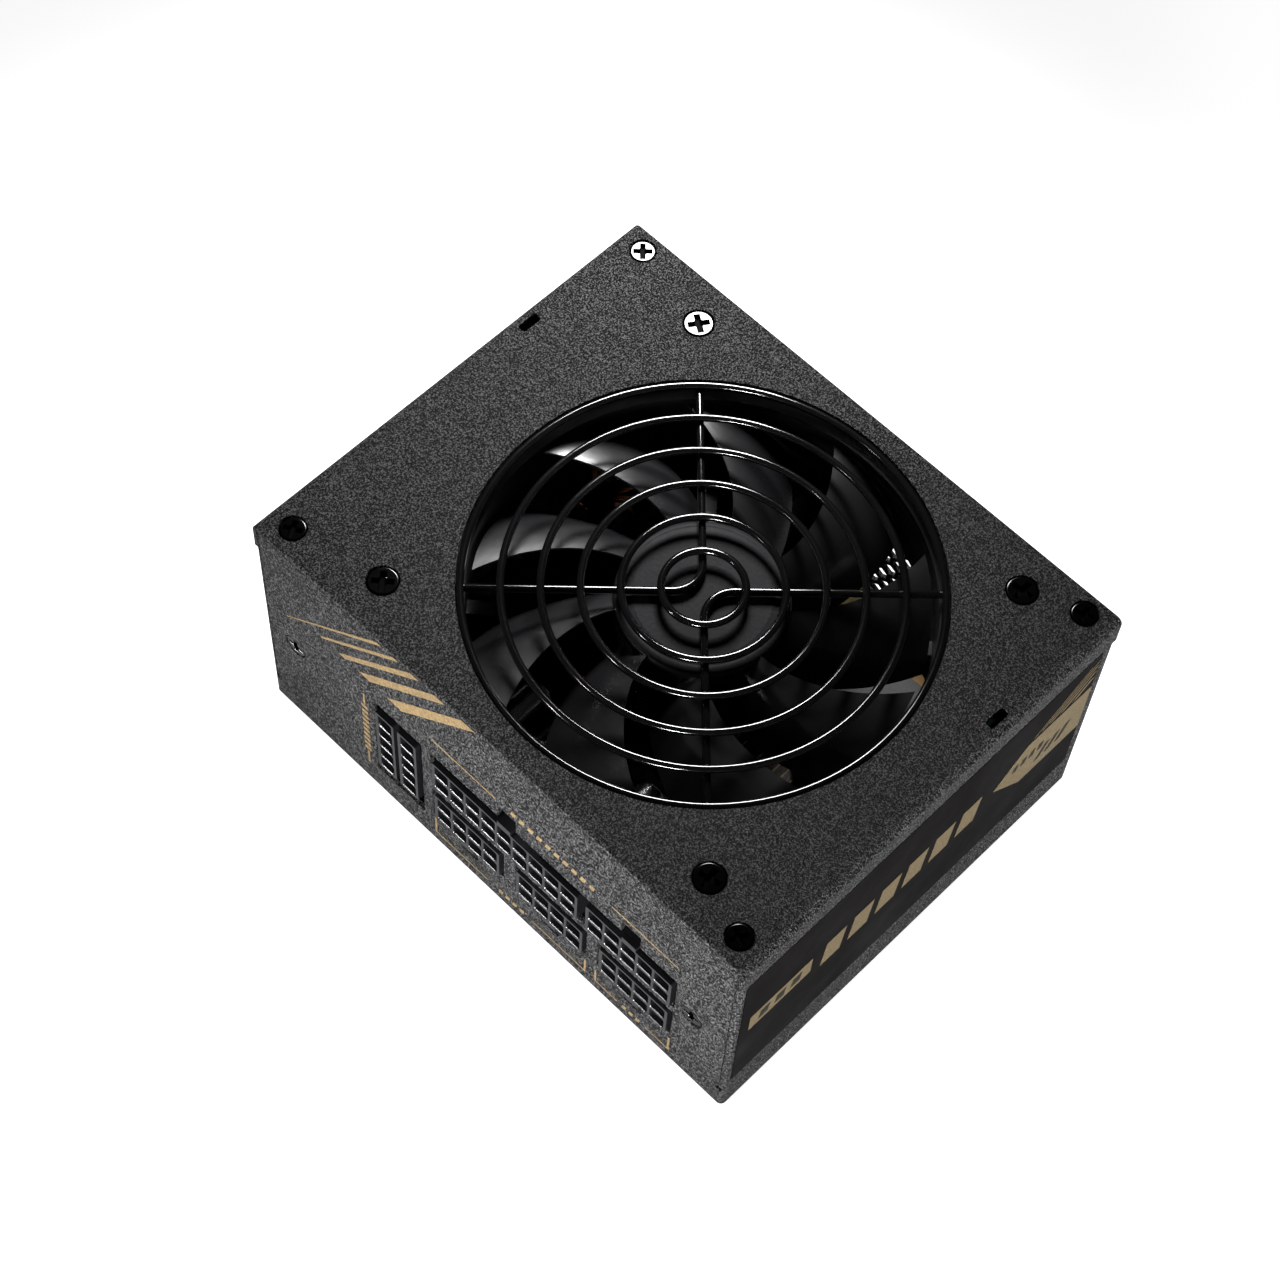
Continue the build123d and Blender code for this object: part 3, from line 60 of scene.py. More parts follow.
class Graph:
    """A material's node tree with short helpers."""

    def __init__(self, name):
        self.material = bpy.data.materials.new(name)
        self.material.use_nodes = True
        self.tree = self.material.node_tree
        self.shader = self.tree.nodes["Principled BSDF"]
        self.coords = self.add("ShaderNodeTexCoord").outputs["Object"]

    def feed(self, socket, value):
        """Link a socket into another, or set its value."""
        if isinstance(value, bpy.types.NodeSocket):
            self.tree.links.new(value, socket)
        else:
            socket.default_value = value

    def add(self, kind, **inputs):
        node = self.tree.nodes.new(kind)
        for key, value in inputs.items():
            self.feed(node.inputs[key.replace("_", " ")], value)
        return node

    def set(self, **inputs):
        for key, value in inputs.items():
            self.feed(self.shader.inputs[key.replace("_", " ")], value)

    def mapped(self, **settings):
        """The coordinates moved by a location or stretched by a scale."""
        node = self.add("ShaderNodeMapping", Vector=self.coords, **settings)
        return node.outputs["Vector"]

    def noise(self, scale, detail=3.0, distortion=0.0, coords=None):
        node = self.add("ShaderNodeTexNoise", Vector=coords or self.coords, Scale=scale,
                        Detail=detail, Roughness=NOISE_ROUGHNESS, Distortion=distortion)
        return node.outputs["Fac"]

    def spots(self, scale):
        """Distance from scattered points."""
        node = self.add("ShaderNodeTexVoronoi", Vector=self.coords, Scale=scale)
        return node.outputs["Distance"]

    def soft_cells(self, scale, smoothness, coords):
        """Distance from scattered points, blended where their cells meet."""
        node = self.tree.nodes.new("ShaderNodeTexVoronoi")
        node.feature = "SMOOTH_F1"
        self.feed(node.inputs["Vector"], coords)
        node.inputs["Scale"].default_value = scale
        node.inputs["Smoothness"].default_value = smoothness
        return node.outputs["Distance"]

    def wave(self, scale, axis="Z", distortion=0.0):
        node = self.add("ShaderNodeTexWave", Vector=self.coords, Scale=scale, Distortion=distortion)
        node.bands_direction = axis
        return node.outputs["Fac"]

    def span(self, value, low, high, start=0.0, stop=1.0):
        """The value's range from start to stop, carried over to low to high."""
        node = self.add("ShaderNodeMapRange", Value=value)
        limits = {"From Min": start, "From Max": stop, "To Min": low, "To Max": high}
        for key, number in limits.items():
            node.inputs[key].default_value = number
        return node.outputs["Result"]

    def math(self, operation, a, b):
        node = self.tree.nodes.new("ShaderNodeMath")
        node.operation = operation
        self.feed(node.inputs[0], a)
        self.feed(node.inputs[1], b)
        return node.outputs[0]

    def mix(self, factor, a, b):
        """Colour a where the factor is 0, and b where it is 1."""
        node = self.tree.nodes.new("ShaderNodeMix")
        node.data_type = "RGBA"
        self.tree.links.new(factor, node.inputs["Factor"])
        for key, value in (("A", a), ("B", b)):
            socket = next(s for s in node.inputs if s.name == key and s.type == "RGBA")
            if not isinstance(value, bpy.types.NodeSocket):
                value = (*value, 1.0)
            self.feed(socket, value)
        return next(s for s in node.outputs if s.type == "RGBA")

    def bump(self, height, distance):
        node = self.add("ShaderNodeBump", Height=height, Distance=distance, Strength=1.0)
        self.set(Normal=node.outputs["Normal"])


def shade(color, factor):
    """The colour made darker or lighter."""
    return tuple(min(1.0, channel * factor) for channel in color)


def plain(name, color, roughness, metallic=0.0, grain=900.0, spread=0.12, relief=0.01,
          coat=0.0, specular=0.5):
    """A solid colour with fine mottling, uneven gloss and slight surface relief."""
    g = Graph(name)
    fine = g.noise(grain, detail=4.0)
    broad = g.noise(60.0, detail=3.0)
    blend = g.math("MULTIPLY", g.math("ADD", fine, broad), 0.5)
    mottle = g.span(blend, 0, 1, 0.35, 0.65)
    g.set(Base_Color=g.mix(mottle, shade(color, 1 - spread), shade(color, 1 + spread)),
          Metallic=metallic,
          Roughness=g.span(broad, roughness * 0.85, roughness * 1.15, 0.3, 0.7),
          Specular_IOR_Level=specular,
          Coat_Weight=coat,
          Coat_Roughness=0.08)
    g.bump(fine, relief * MM)
    return g.material


def coat_height(g, grain):
    """Relief of the wrinkled coating, shared by the coat and by the ink over it."""
    place = g.mapped(Scale=(1, 1, GRAIN_UPRIGHT))
    cells = g.soft_cells(grain, 0.3, place)
    warp = g.noise(grain * 0.9, detail=2.0, distortion=0.4, coords=place)
    fine = g.noise(grain * 2.2, detail=2.0, coords=place)
    height = g.math("ADD", g.math("MULTIPLY", cells, -0.6), warp)
    return g.math("ADD", height, g.math("MULTIPLY", fine, 0.3))


def powder_coat(name, low, high, relief):
    """Wrinkled powder coating: fine interlocking grains, with painted shade darkening its colour to
    black in the creases of the relief.
    """
    g = Graph(name)
    height = coat_height(g, COAT_GRAIN)
    broad = g.noise(18.0, detail=2.0)
    # tone carries painted shade: the colour runs from black in the relief's creases to the coat's
    # grey on the grain tops.
    tone = g.span(height, 0, 1, 0.29, 0.62)
    g.set(Base_Color=g.mix(tone, low, high),
          Roughness=g.span(g.math("ADD", tone, broad), 0.55, 0.35, 0.2, 1.4),
          Specular_IOR_Level=0.15)
    g.bump(height, relief * MM)
    return g.material


LENGTH_SCALE = 40
SCRATCH_SCALE = 2600
SCRATCH_RELIEF = 0.02


def brushed(name, color, roughness=0.32, axis="X"):
    """Bare metal with fine lines along one axis and uneven gloss."""
    g = Graph(name)
    stretch = [LENGTH_SCALE if letter == axis else SCRATCH_SCALE for letter in "XYZ"]
    lines = g.noise(1.0, detail=3.0, coords=g.mapped(Scale=stretch))
    broad = g.noise(80.0)
    gloss = g.math("ADD", lines, broad)
    g.set(Base_Color=g.mix(g.span(lines, 0, 1, 0.3, 0.7), shade(color, 0.85), shade(color, 1.1)),
          Metallic=1.0,
          Roughness=g.span(gloss, roughness * 0.8, roughness * 1.3, 0.6, 1.4))
    g.bump(lines, SCRATCH_RELIEF * MM)
    return g.material


def circuit_board(name, solder, track):
    """Solder mask with copper tracks showing under it and small pale pads."""
    g = Graph(name)
    lanes = g.noise(140.0, detail=1.0, distortion=2.0)
    lines = g.math("GREATER_THAN", g.math("PINGPONG", g.math("MULTIPLY", lanes, 14.0), 0.5), 0.28)
    pads = g.math("LESS_THAN", g.spots(260.0), 0.16)
    fine = g.noise(2500.0)
    base = g.mix(lines, solder, track)
    g.set(Base_Color=g.mix(pads, base, (0.55, 0.55, 0.5)),
          Roughness=g.span(fine, 0.32, 0.45),
          Coat_Weight=0.3)
    g.bump(g.math("ADD", lines, g.math("MULTIPLY", fine, 0.2)), 0.03 * MM)
    return g.material


def windings(name, color, scale=900.0):
    """Enamelled wire laid side by side."""
    g = Graph(name)
    turns = g.wave(scale, distortion=0.4)
    broad = g.noise(120.0)
    g.set(Base_Color=g.mix(turns, shade(color, 0.55), color),
          Metallic=0.75,
          Roughness=g.span(broad, 0.25, 0.4),
          Coat_Weight=0.5)
    g.bump(turns, 0.1 * MM)
    return g.material


def tape(name, color):
    """Layers of adhesive tape with faint edges round the piece."""
    g = Graph(name)
    edges = g.wave(250.0, distortion=1.5)
    mottle = g.noise(500.0, detail=4.0)
    tone = g.math("MULTIPLY", g.math("ADD", edges, mottle), 0.5)
    g.set(Base_Color=g.mix(tone, shade(color, 0.75), shade(color, 1.15)),
          Roughness=g.span(mottle, 0.3, 0.5))
    g.bump(tone, 0.04 * MM)
    return g.material


def sleeve(name, color, stripe, period=160.0):
    """Shrink sleeve of a capacitor, with pale bands down its side."""
    g = Graph(name)
    bands = g.math("GREATER_THAN", g.wave(period, axis="X"), 0.93)
    mottle = g.noise(700.0, detail=3.0)
    g.set(Base_Color=g.mix(bands, color, stripe),
          Roughness=g.span(mottle, 0.22, 0.34),
          Coat_Weight=0.4)
    g.bump(mottle, 0.01 * MM)
    return g.material


def gold_print(name, color, relief, grain=2300.0):
    """Screen-printed gold ink, patchy where it lies over a textured coating."""
    g = Graph(name)
    height = coat_height(g, grain)
    fine = g.noise(grain * 1.5, detail=3.0)
    # The ink is darker in the low parts of the relief it shares with the coating and lighter on its
    # tops.
    relief_tone = g.span(height, 0, 1, 0.15, 0.7)
    g.set(Base_Color=g.mix(relief_tone, shade(color, 0.62), shade(color, 1.2)),
          Metallic=0.25,
          Roughness=g.span(fine, 0.38, 0.52))
    g.bump(height, relief * MM)
    return g.material


def screw_metal(name, color, roughness):
    """Black nickel on the heads' faces; below them, down in their recesses, painted shade makes it
    dark, and it is dull there.
    """
    g = Graph(name)
    place = g.add("ShaderNodeSeparateXYZ", Vector=g.coords)
    on_cover = g.math("GREATER_THAN", place.outputs["Z"], COVER_Z - RECESS_SHADE)
    on_panel = g.math("LESS_THAN", place.outputs["Y"], SOCKET_FACE_Y + RECESS_SHADE)
    face = g.math("MAXIMUM", on_cover, on_panel)
    fine = g.noise(1400.0, detail=4.0)
    metal = g.mix(fine, shade(color, 0.8), shade(color, 1.2))
    # face marks the heads' faces; everywhere below them the colour falls to 6 per cent as painted
    # shade in the recesses.
    g.set(Base_Color=g.mix(face, shade(color, 0.06), metal),
          Metallic=1.0,
          Roughness=g.math("ADD", g.span(face, 0.6, roughness), g.span(fine, -0.02, 0.02)))
    g.bump(fine, 0.003 * MM)
    return g.material


def fan_plastic(name, color, blade_roughness, hub_roughness):
    """Smooth glossy blades round a hub with a duller, finely pitted face."""
    g = Graph(name)
    axis = (GUARD_LOW + GUARD_HIGH) / 2
    centred = g.mapped(Location=(-axis[0], -axis[1], 0), Scale=(1, 1, 0))
    radius = g.add("ShaderNodeVectorMath", Vector=centred)
    radius.operation = "LENGTH"
    on_hub = g.math("LESS_THAN", radius.outputs["Value"], HUB_RADIUS)
    fine = g.noise(1500.0, detail=4.0)
    broad = g.noise(90.0, detail=3.0)
    pits = g.math("MULTIPLY", fine, g.span(on_hub, 0.15, 1))
    unevenness = g.span(broad, -0.05, 0.05, 0.3, 0.7)
    g.set(Base_Color=g.mix(g.span(pits, 0, 1, 0.1, 0.7), shade(color, 0.8), shade(color, 1.5)),
          Specular_IOR_Level=g.span(on_hub, 0.7, 0.06),
          Roughness=g.math("ADD", g.span(on_hub, blade_roughness, hub_roughness), unevenness))
    g.bump(pits, 0.05 * MM)
    return g.material


# The coat's black low colour is painted shade in the creases of its relief.
COAT = powder_coat("wrinkle_coat", (0.0, 0.0, 0.0), (0.108, 0.108, 0.11), relief=0.65)
SCREW = screw_metal("black_nickel", (0.028, 0.028, 0.029), 0.17)
GUARD = plain("gloss_black_wire", (0.003, 0.003, 0.003), 0.1,
              spread=0.2, relief=0.002, specular=0.55)
FAN_PLASTIC = fan_plastic("fan_blade_plastic", (0.010, 0.010, 0.011),
                          blade_roughness=0.31, hub_roughness=0.55)
FRAME_PLASTIC = plain("fan_frame_plastic", (0.006, 0.006, 0.007), 0.5, grain=1500, relief=0.012)
SOCKET_PLASTIC = plain("socket_plastic", (0.008, 0.008, 0.009), 0.25, grain=1600)
INLET_PLASTIC = plain("inlet_plastic", (0.018, 0.018, 0.019), 0.45, grain=1300, relief=0.012)
ROCKER_PLASTIC = plain("rocker_plastic", (0.02, 0.02, 0.021), 0.3,
                       grain=1300, relief=0.006, coat=0.2)
SIDE_FILM = plain("side_label_film", (0.0022, 0.0016, 0.0017), 0.5,
                  grain=1200, spread=0.05, relief=0.003, specular=0.03)
RATING_FILM = plain("rating_label_film", (0.02, 0.018, 0.018), 0.45,
                    grain=1200, spread=0.06, relief=0.003, specular=0.2)
STEEL = brushed("plain_steel", (0.55, 0.55, 0.56))
SHAFT_STEEL = brushed("ground_steel", (0.68, 0.68, 0.68), roughness=0.18, axis="Z")
BRONZE = brushed("sintered_bronze", (0.5, 0.34, 0.18), roughness=0.45)
BRASS = brushed("plain_brass", (0.75, 0.58, 0.3), roughness=0.3)
TIN = brushed("tinned_metal", (0.72, 0.71, 0.68), roughness=0.28, axis="Y")
ZINC = brushed("zinc_plate", (0.65, 0.65, 0.66), roughness=0.3)
COPPER = brushed("copper_bar", (0.72, 0.35, 0.2), roughness=0.3)
ALUMINIUM = plain("black_anodised_aluminium", (0.03, 0.03, 0.032), 0.4,
                  metallic=0.6, grain=1600)
CAN = brushed("bare_can", (0.75, 0.75, 0.76), roughness=0.22, axis="Y")
GREEN_BOARD = circuit_board("green_board", (0.01, 0.07, 0.03), (0.02, 0.12, 0.05))
BLACK_BOARD = circuit_board("black_board", (0.012, 0.012, 0.012), (0.03, 0.03, 0.03))
ENAMEL = windings("enamelled_copper", (0.6, 0.24, 0.1))
COIL = windings("motor_coil", (0.6, 0.26, 0.1), scale=1400)
TAN_TAPE = tape("tan_tape", (0.62, 0.36, 0.12))
YELLOW_TAPE = tape("yellow_tape", (0.6, 0.46, 0.08))
FERRITE = plain("ferrite", (0.035, 0.035, 0.037), 0.6, grain=2200, spread=0.3, relief=0.03)
MAGNET = plain("bonded_magnet", (0.05, 0.05, 0.05), 0.55, grain=2000, spread=0.25, relief=0.02)
GREEN_CORE = plain("green_coated_core", (0.03, 0.11, 0.07), 0.4, relief=0.03)
GREY_CORE = plain("powder_core", (0.13, 0.13, 0.13), 0.55, grain=2200, spread=0.25, relief=0.03)
LAMINATION = brushed("laminated_steel", (0.35, 0.35, 0.37), roughness=0.4)
MYLAR = plain("insulation_film", (0.02, 0.02, 0.02), 0.3, grain=500)
MOULDED = plain("moulded_package", (0.02, 0.02, 0.021), 0.5, grain=2500, spread=0.2, relief=0.02)
CAPACITOR_CASE = plain("film_capacitor_case", (0.05, 0.055, 0.07), 0.35, grain=800)
BLUE_DIP = plain("blue_dip", (0.04, 0.13, 0.38), 0.3, grain=500, relief=0.05)
GREEN_DIP = plain("dark_green_dip", (0.03, 0.07, 0.05), 0.35, grain=500, relief=0.05)
CERAMIC = plain("fuse_ceramic", (0.6, 0.57, 0.5), 0.35)
BOBBIN = plain("bobbin_plastic", (0.02, 0.02, 0.02), 0.45, grain=1200)
BULK_SLEEVE = sleeve("bulk_sleeve", (0.02, 0.025, 0.06), (0.3, 0.3, 0.32), period=40)
CAP_SLEEVE = sleeve("capacitor_sleeve", (0.035, 0.018, 0.01), (0.5, 0.4, 0.2))
BROWN_WIRE = plain("brown_wire", (0.14, 0.05, 0.03), 0.4, grain=700, relief=0.02)
BLACK_WIRE = plain("black_wire", (0.02, 0.02, 0.02), 0.4, grain=700, relief=0.02)
IVORY = plain("ivory_plastic", (0.6, 0.58, 0.5), 0.4)
FRONT_GOLD = gold_print("gold_on_coat", (0.24, 0.165, 0.075), relief=0.2)
LABEL_GOLD = gold_print("gold_on_film", (0.15, 0.11, 0.05), relief=0.004, grain=2600)
DARK_INK = plain("dark_ink", (0.012, 0.010, 0.007), 0.45,
                 grain=1500, relief=0.003, specular=0.08)
PALE_INK = plain("pale_ink", (0.3, 0.3, 0.29), 0.4, grain=1500, relief=0.003)


def earth_wire():
    """Green insulation with a yellow stripe winding along it."""
    g = Graph("earth_wire")
    stripe = g.math("GREATER_THAN", g.wave(90.0, axis="Z"), 0.5)
    fine = g.noise(900.0)
    g.set(Base_Color=g.mix(stripe, (0.04, 0.2, 0.04), (0.55, 0.48, 0.04)),
          Roughness=g.span(fine, 0.35, 0.5))
    g.bump(fine, 0.01 * MM)
    return g.material


EARTH_WIRE = earth_wire()

NODE_MATERIALS = {
    "base_chassis": COAT,
    "top_cover": COAT,
    "cover_screws": SCREW,
    "fan_screws": SCREW,
    "panel_screws": SCREW,
    "fan_guard": GUARD,
    "fan_frame": FRAME_PLASTIC,
    "fan_rotor": FAN_PLASTIC,
    "rotor_yoke": STEEL,
    "rotor_magnet": MAGNET,
    "fan_shaft": SHAFT_STEEL,
    "fan_bearing": BRONZE,
    "stator_core": LAMINATION,
    "stator_coils": COIL,
    "fan_circuit_board": GREEN_BOARD,
    "side_label": SIDE_FILM,
    "rating_label": RATING_FILM,
    "inlet_housing": INLET_PLASTIC,
    "inlet_pins": TIN,
    "switch_frame": INLET_PLASTIC,
    "switch_rocker": ROCKER_PLASTIC,
    "switch_terminals": TIN,
    "insulation_sheet": MYLAR,
    "board_standoffs": BRASS,
    "main_board": GREEN_BOARD,
    "board_screws": ZINC,
    "filter_choke_core": GREEN_CORE,
    "filter_choke_windings": ENAMEL,
    "film_capacitor": CAPACITOR_CASE,
    "disc_capacitors": BLUE_DIP,
    "fuse": CERAMIC,
    "thermistor": GREEN_DIP,
    "primary_heatsink": ALUMINIUM,
    "power_transistors": MOULDED,
    "bridge_rectifier": MOULDED,
    "boost_choke_core": GREY_CORE,
    "boost_choke_winding": ENAMEL,
    "bulk_capacitor": BULK_SLEEVE,
    "transformer_core": FERRITE,
    "transformer_winding": TAN_TAPE,
    "transformer_base": BOBBIN,
    "resonant_choke": FERRITE,
    "standby_transformer": YELLOW_TAPE,
    "secondary_heatsink": ALUMINIUM,
    "output_capacitors": CAP_SLEEVE,
    "control_board": GREEN_BOARD,
    "converter_board": GREEN_BOARD,
    "converter_chokes": GREY_CORE,
    "modular_board": BLACK_BOARD,
    "socket_18_way": SOCKET_PLASTIC,
    "socket_10_way": SOCKET_PLASTIC,
    "sockets_8_way": SOCKET_PLASTIC,
    "sockets_5_way": SOCKET_PLASTIC,
    "socket_contacts": TIN,
    "polymer_capacitors": CAN,
    "copper_bars": COPPER,
    "mains_wires": BROWN_WIRE,
    "ground_wire": EARTH_WIRE,
    "fan_cable": BLACK_WIRE,
    "fan_plug": IVORY,
}

for node_name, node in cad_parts.items():
    for material_slot in node.material_slots:
        material_slot.link = "OBJECT"
        material_slot.material = NODE_MATERIALS[node_name]


# ---------------------------------------------------------------- printed marks

def print_sheet(name, outlines, place, material):
    """Thin printed shapes, each a convex outline in millimetres, lying on a wall."""
    vertices = []
    faces = []
    for outline in outlines:
        first = len(vertices)
        count = len(outline)
        for lift in (PRINT_LIFT, PRINT_LIFT + PRINT_THICKNESS):
            vertices += [place(u * MM, v * MM, lift) for u, v in outline]
        faces.append([first + i for i in reversed(range(count))])
        faces.append([first + count + i for i in range(count)])
        for i in range(count):
            j = (i + 1) % count
            faces.append([first + i, first + j, first + count + j, first + count + i])
    mesh = bpy.data.meshes.new(name)
    mesh.from_pydata(vertices, [], faces)
    mesh.validate()
    obj = bpy.data.objects.new(name, mesh)
    bpy.context.scene.collection.objects.link(obj)
    mesh.materials.append(material)
    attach(obj, PRINT_BODY)


def on_socket_face(x, z, lift):
    return (x, SOCKET_FACE_Y - lift, z)


def on_side_label(y, z, lift):
    return (SIDE_LABEL_X + lift, y, z)


def on_side_print(y, z, lift):
    return on_side_label(y, z, PRINT_THICKNESS + PRINT_LIFT + lift)


def on_rating_label(y, z, lift):
    return (RATING_LABEL_X - lift, y, z)


def bar(x0, z0, x1, z1):
    """Upright rectangle."""
    return [(x0, z0), (x1, z0), (x1, z1), (x0, z1)]


def slants(count, pitch, x0, z0, width, height, lean):
    """Row of parallelograms leaning along it, from the first one's lower left corner."""
    outlines = []
    for i in range(count):
        left = x0 + pitch * i
        right = left + width
        top = z0 + height
        outlines.append([(left, z0), (right, z0), (right + lean, top), (left + lean, top)])
    return outlines


# Diagonal stripes: left and right x at the lower end, its height, then both x at the top edge.
STRIPE_TOP = 62.3
STRIPES = (
    (-55.3, -54.9, 39.0, -29.0, -27.7),
    (-45.7, -44.7, 43.5, -24.7, -23.2),
    (-40.5, -38.7, 43.5, -20.1, -17.9),
    (-35.0, -32.0, 43.5, -14.0, -11.2),
    (-27.3, -23.3, 43.5, -6.9, -3.5),
)
print_sheet(
    "diagonal_stripes",
    [[(a, low), (b, low), (d, STRIPE_TOP), (c, STRIPE_TOP)] for a, b, low, c, d in STRIPES],
    on_socket_face,
    FRONT_GOLD,
)

# Thin rules round the sockets: two x and a height, or an x and two heights.
LINE = 0.5
UPPER_RULE = 43.1
LOWER_RULE = 4.1
SIDE_RULE = -34.4
across = [(-15.5, 1.5, UPPER_RULE), (31.5, 48.1, UPPER_RULE)]
across += [(-14.9, -0.6, LOWER_RULE), (11.5, 25.6, LOWER_RULE)]
across += [(28.9, 34.6, LOWER_RULE), (42.0, 47.8, LOWER_RULE)]
upright = [(SIDE_RULE, 31.8, 36.0), (SIDE_RULE, 7.6, 12.4)]
upright += [(-15.4, LOWER_RULE, 10.2), (25.6, LOWER_RULE, 9.6)]
upright += [(28.4, LOWER_RULE, 9.2), (47.8, LOWER_RULE, 9.8)]
socket_rules = [bar(x0, z, x1, z + LINE) for x0, x1, z in across]
socket_rules += [bar(x, z0, x + LINE, z1) for x, z0, z1 in upright]
print_sheet("socket_rules", socket_rules, on_socket_face, FRONT_GOLD)

# Short plain dashes where captions would be, three rows across and one column.
DASH_X = (-35.0, -33.3)
DASH_BOTTOM = 13.0
DASH_HEIGHT = 1.2
DASH_PITCH = 1.9
socket_dashes = slants(10, 2.25, 5.4, 42.5, width=1.25, height=1.7, lean=0.4)
socket_dashes += slants(4, 1.9, 2.2, 3.6, width=1.1, height=1.6, lean=0.35)
socket_dashes += slants(3, 1.8, 35.8, 3.6, width=1.0, height=1.6, lean=0.35)
for step in range(10):
    bottom = DASH_BOTTOM + DASH_PITCH * step
    socket_dashes.append(bar(DASH_X[0], bottom, DASH_X[1], bottom + DASH_HEIGHT))
print_sheet("socket_dashes", socket_dashes, on_socket_face, FRONT_GOLD)

# A bar, plain slanted blocks and an arrow-ended band on the side label.
LABEL_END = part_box("side_label")[1][1] / MM
BAND_Z = (27.1, 43.0)
BAND_TIP = (20.0, 35.4)
band = [
    BAND_TIP,
    (29.1, BAND_Z[0]),
    (LABEL_END, BAND_Z[0]),
    (LABEL_END, BAND_Z[1]),
    (28.4, BAND_Z[1]),
]
side_blocks = [bar(-46.1, 32.7, -29.8, 38.7)]
side_blocks += slants(6, 7.4, -26.9, 30.4, width=5.2, height=8.7, lean=0.9)
print_sheet("side_blocks", side_blocks, on_side_label, LABEL_GOLD)
print_sheet("side_band", [band], on_side_label, LABEL_GOLD)

# Dark marks over the band and the bar.
band_marks = slants(4, 2.4, 25.2, 35.5, width=1.3, height=2.3, lean=0.3)
band_marks += slants(3, 3.0, 32.6, 30.6, width=1.4, height=4.6, lean=2.4)
band_marks += slants(3, 4.2, -43.7, 34.3, width=2.4, height=2.8, lean=0.5)
print_sheet("band_marks", band_marks, on_side_print, DARK_INK)

# An empty ruled table, since nothing shows what the far side's label carries.
TABLE_ROWS = (10.0, 17.0, 24.0, 31.0, 38.0)
TABLE_COLUMNS = (-40.0, -20.0, -4.0, 12.0, 28.0, 40.0)
RULE = 0.35
table_rules = [bar(TABLE_COLUMNS[0], z, TABLE_COLUMNS[-1] + RULE, z + RULE) for z in TABLE_ROWS]
table_rules += [bar(y, TABLE_ROWS[0], y + RULE, TABLE_ROWS[-1]) for y in TABLE_COLUMNS]
print_sheet("rating_table", table_rules, on_rating_label, PALE_INK)

# Sloping rules over the band, each narrower than the last and cut off at the label's end.
CORNER_RULES = ((40.4, 1.5), (36.9, 1.3), (34.1, 1.0), (31.7, 0.75), (29.7, 0.5))
RULE_SLOPE = 0.64
RULE_BOTTOM = 44.1
RULE_TOP = 53.2
corner_rules = []
for start, width in CORNER_RULES:
    end = min(LABEL_END - width, start + (RULE_TOP - RULE_BOTTOM) / RULE_SLOPE)
    rise = (end - start) * RULE_SLOPE
    corner_rules += slants(1, 0, start, RULE_BOTTOM, width, rise, end - start)
print_sheet("corner_rules", corner_rules, on_side_label, LABEL_GOLD)


# ---------------------------------------------------------------- stage, light and camera

def area_light(name, location, target, size, energy, spread):
    """White lit panel facing the target; its beam's spread is in degrees."""
    data = bpy.data.lights.new(name, "AREA")
    data.shape = "RECTANGLE"
    data.size, data.size_y = size
    data.energy = energy
    data.spread = math.radians(spread)
    obj = bpy.data.objects.new(name, data)
    bpy.context.scene.collection.objects.link(obj)
    obj.location = location
    direction = Vector(target) - Vector(location)
    obj.rotation_mode = "QUATERNION"
    obj.rotation_quaternion = direction.to_track_quat("-Z", "Y")


# The floor looks nearly white to the camera and throws less light than that on the part.
FLOOR_HALF = 4.0
FLOOR_SEEN = 0.92
FLOOR_MIRRORED = 0.35
FLOOR_GLOW = 0.02
FLOOR_WHITE = (0.9, 0.9, 0.9)
FLOOR_DULL = (0.12, 0.12, 0.12)
ROOM_GLOW = 0.008


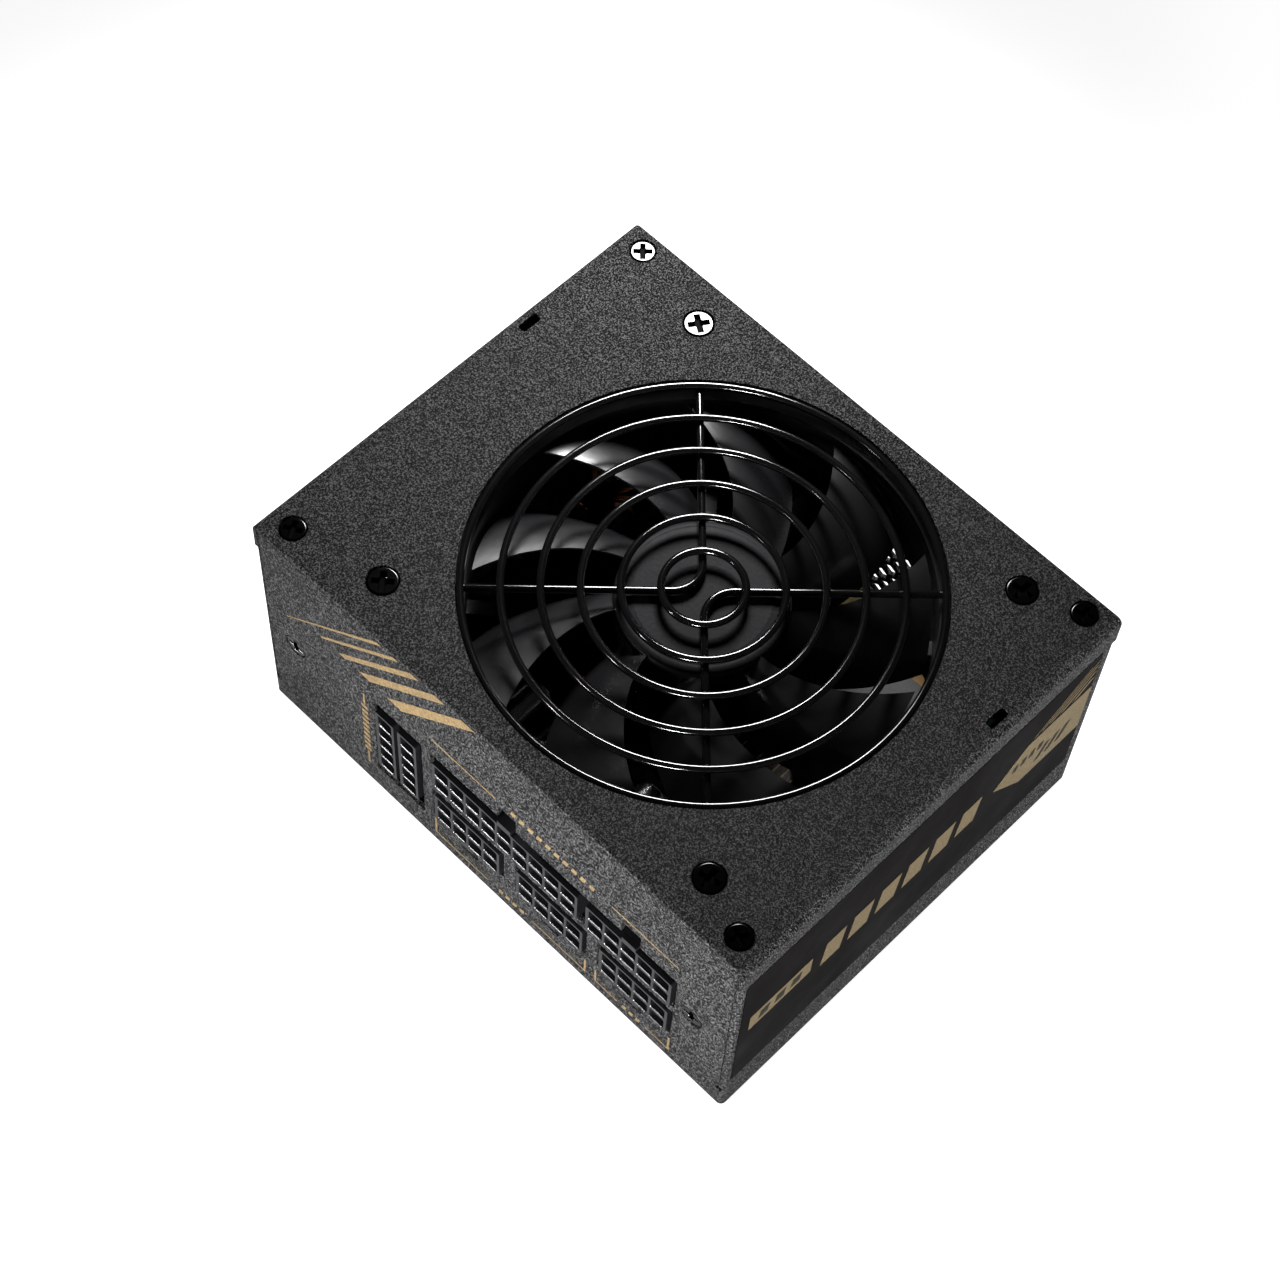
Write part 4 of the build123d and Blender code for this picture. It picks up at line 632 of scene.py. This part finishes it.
def make_floor():
    mesh = bpy.data.meshes.new("floor")
    corners = [(x * FLOOR_HALF, y * FLOOR_HALF, 0) for x, y in ((-1, -1), (1, -1), (1, 1), (-1, 1))]
    mesh.from_pydata(corners, [], [(0, 1, 2, 3)])
    obj = bpy.data.objects.new("floor", mesh)
    bpy.context.scene.collection.objects.link(obj)
    g = Graph("white_floor")
    soft = g.noise(3.0)
    path = g.add("ShaderNodeLightPath").outputs
    seen = path["Is Camera Ray"]
    lit = g.span(path["Is Glossy Ray"], FLOOR_GLOW, FLOOR_MIRRORED)
    g.set(Base_Color=g.mix(g.math("MULTIPLY", soft, seen), FLOOR_DULL, FLOOR_WHITE),
          Roughness=0.7,
          Emission_Color=(1, 1, 1, 1),
          Emission_Strength=g.math("MAXIMUM", lit, g.math("MULTIPLY", seen, FLOOR_SEEN)))
    mesh.materials.append(g.material)


def make_world():
    world = bpy.data.worlds.new("studio")
    bpy.context.scene.world = world
    world.use_nodes = True
    background = world.node_tree.nodes["Background"]
    background.inputs["Color"].default_value = (1, 1, 1, 1)
    background.inputs["Strength"].default_value = ROOM_GLOW


make_floor()
make_world()
area_light("back_left_softbox", (-0.118, 0.128, 0.205), (-0.06, 0.04, 0.0635),
           size=(0.07, 0.07), energy=0.36, spread=90)
area_light("right_front_card", (0.25, -0.35, 0.06), (0.065, -0.05, 0.05),
           size=(0.2, 0.1), energy=0.27, spread=18)
area_light("front_reflector", (-0.17, -0.55, 0.23), (0.03, -0.05, 0.015),
           size=(0.3, 0.06), energy=0.07, spread=12)

# Camera: where it stands, in metres, and its heading, height angle and roll in degrees.
CAMERA_PLACE = (0.1694, -0.2086, 0.5137)
CAMERA_AZIMUTH = 40.67
CAMERA_ELEVATION = 60.60
CAMERA_ROLL = 4.58
CAMERA_LENS = 80.8
CAMERA_SENSOR = 36.0
CAMERA_NEAR = 0.01


def make_camera():
    data = bpy.data.cameras.new("camera")
    data.lens = CAMERA_LENS
    data.sensor_width = CAMERA_SENSOR
    data.clip_start = CAMERA_NEAR
    obj = bpy.data.objects.new("camera", data)
    bpy.context.scene.collection.objects.link(obj)
    azimuth = math.radians(CAMERA_AZIMUTH)
    elevation = math.radians(CAMERA_ELEVATION)
    level = math.cos(elevation)
    view = Vector((-math.sin(azimuth) * level, math.cos(azimuth) * level, -math.sin(elevation)))
    obj.location = CAMERA_PLACE
    obj.rotation_mode = "QUATERNION"
    roll = Quaternion((0, 0, 1), math.radians(CAMERA_ROLL))
    obj.rotation_quaternion = view.to_track_quat("-Z", "Y") @ roll
    bpy.context.scene.camera = obj


make_camera()
bpy.context.scene.view_settings.view_transform = "Standard"
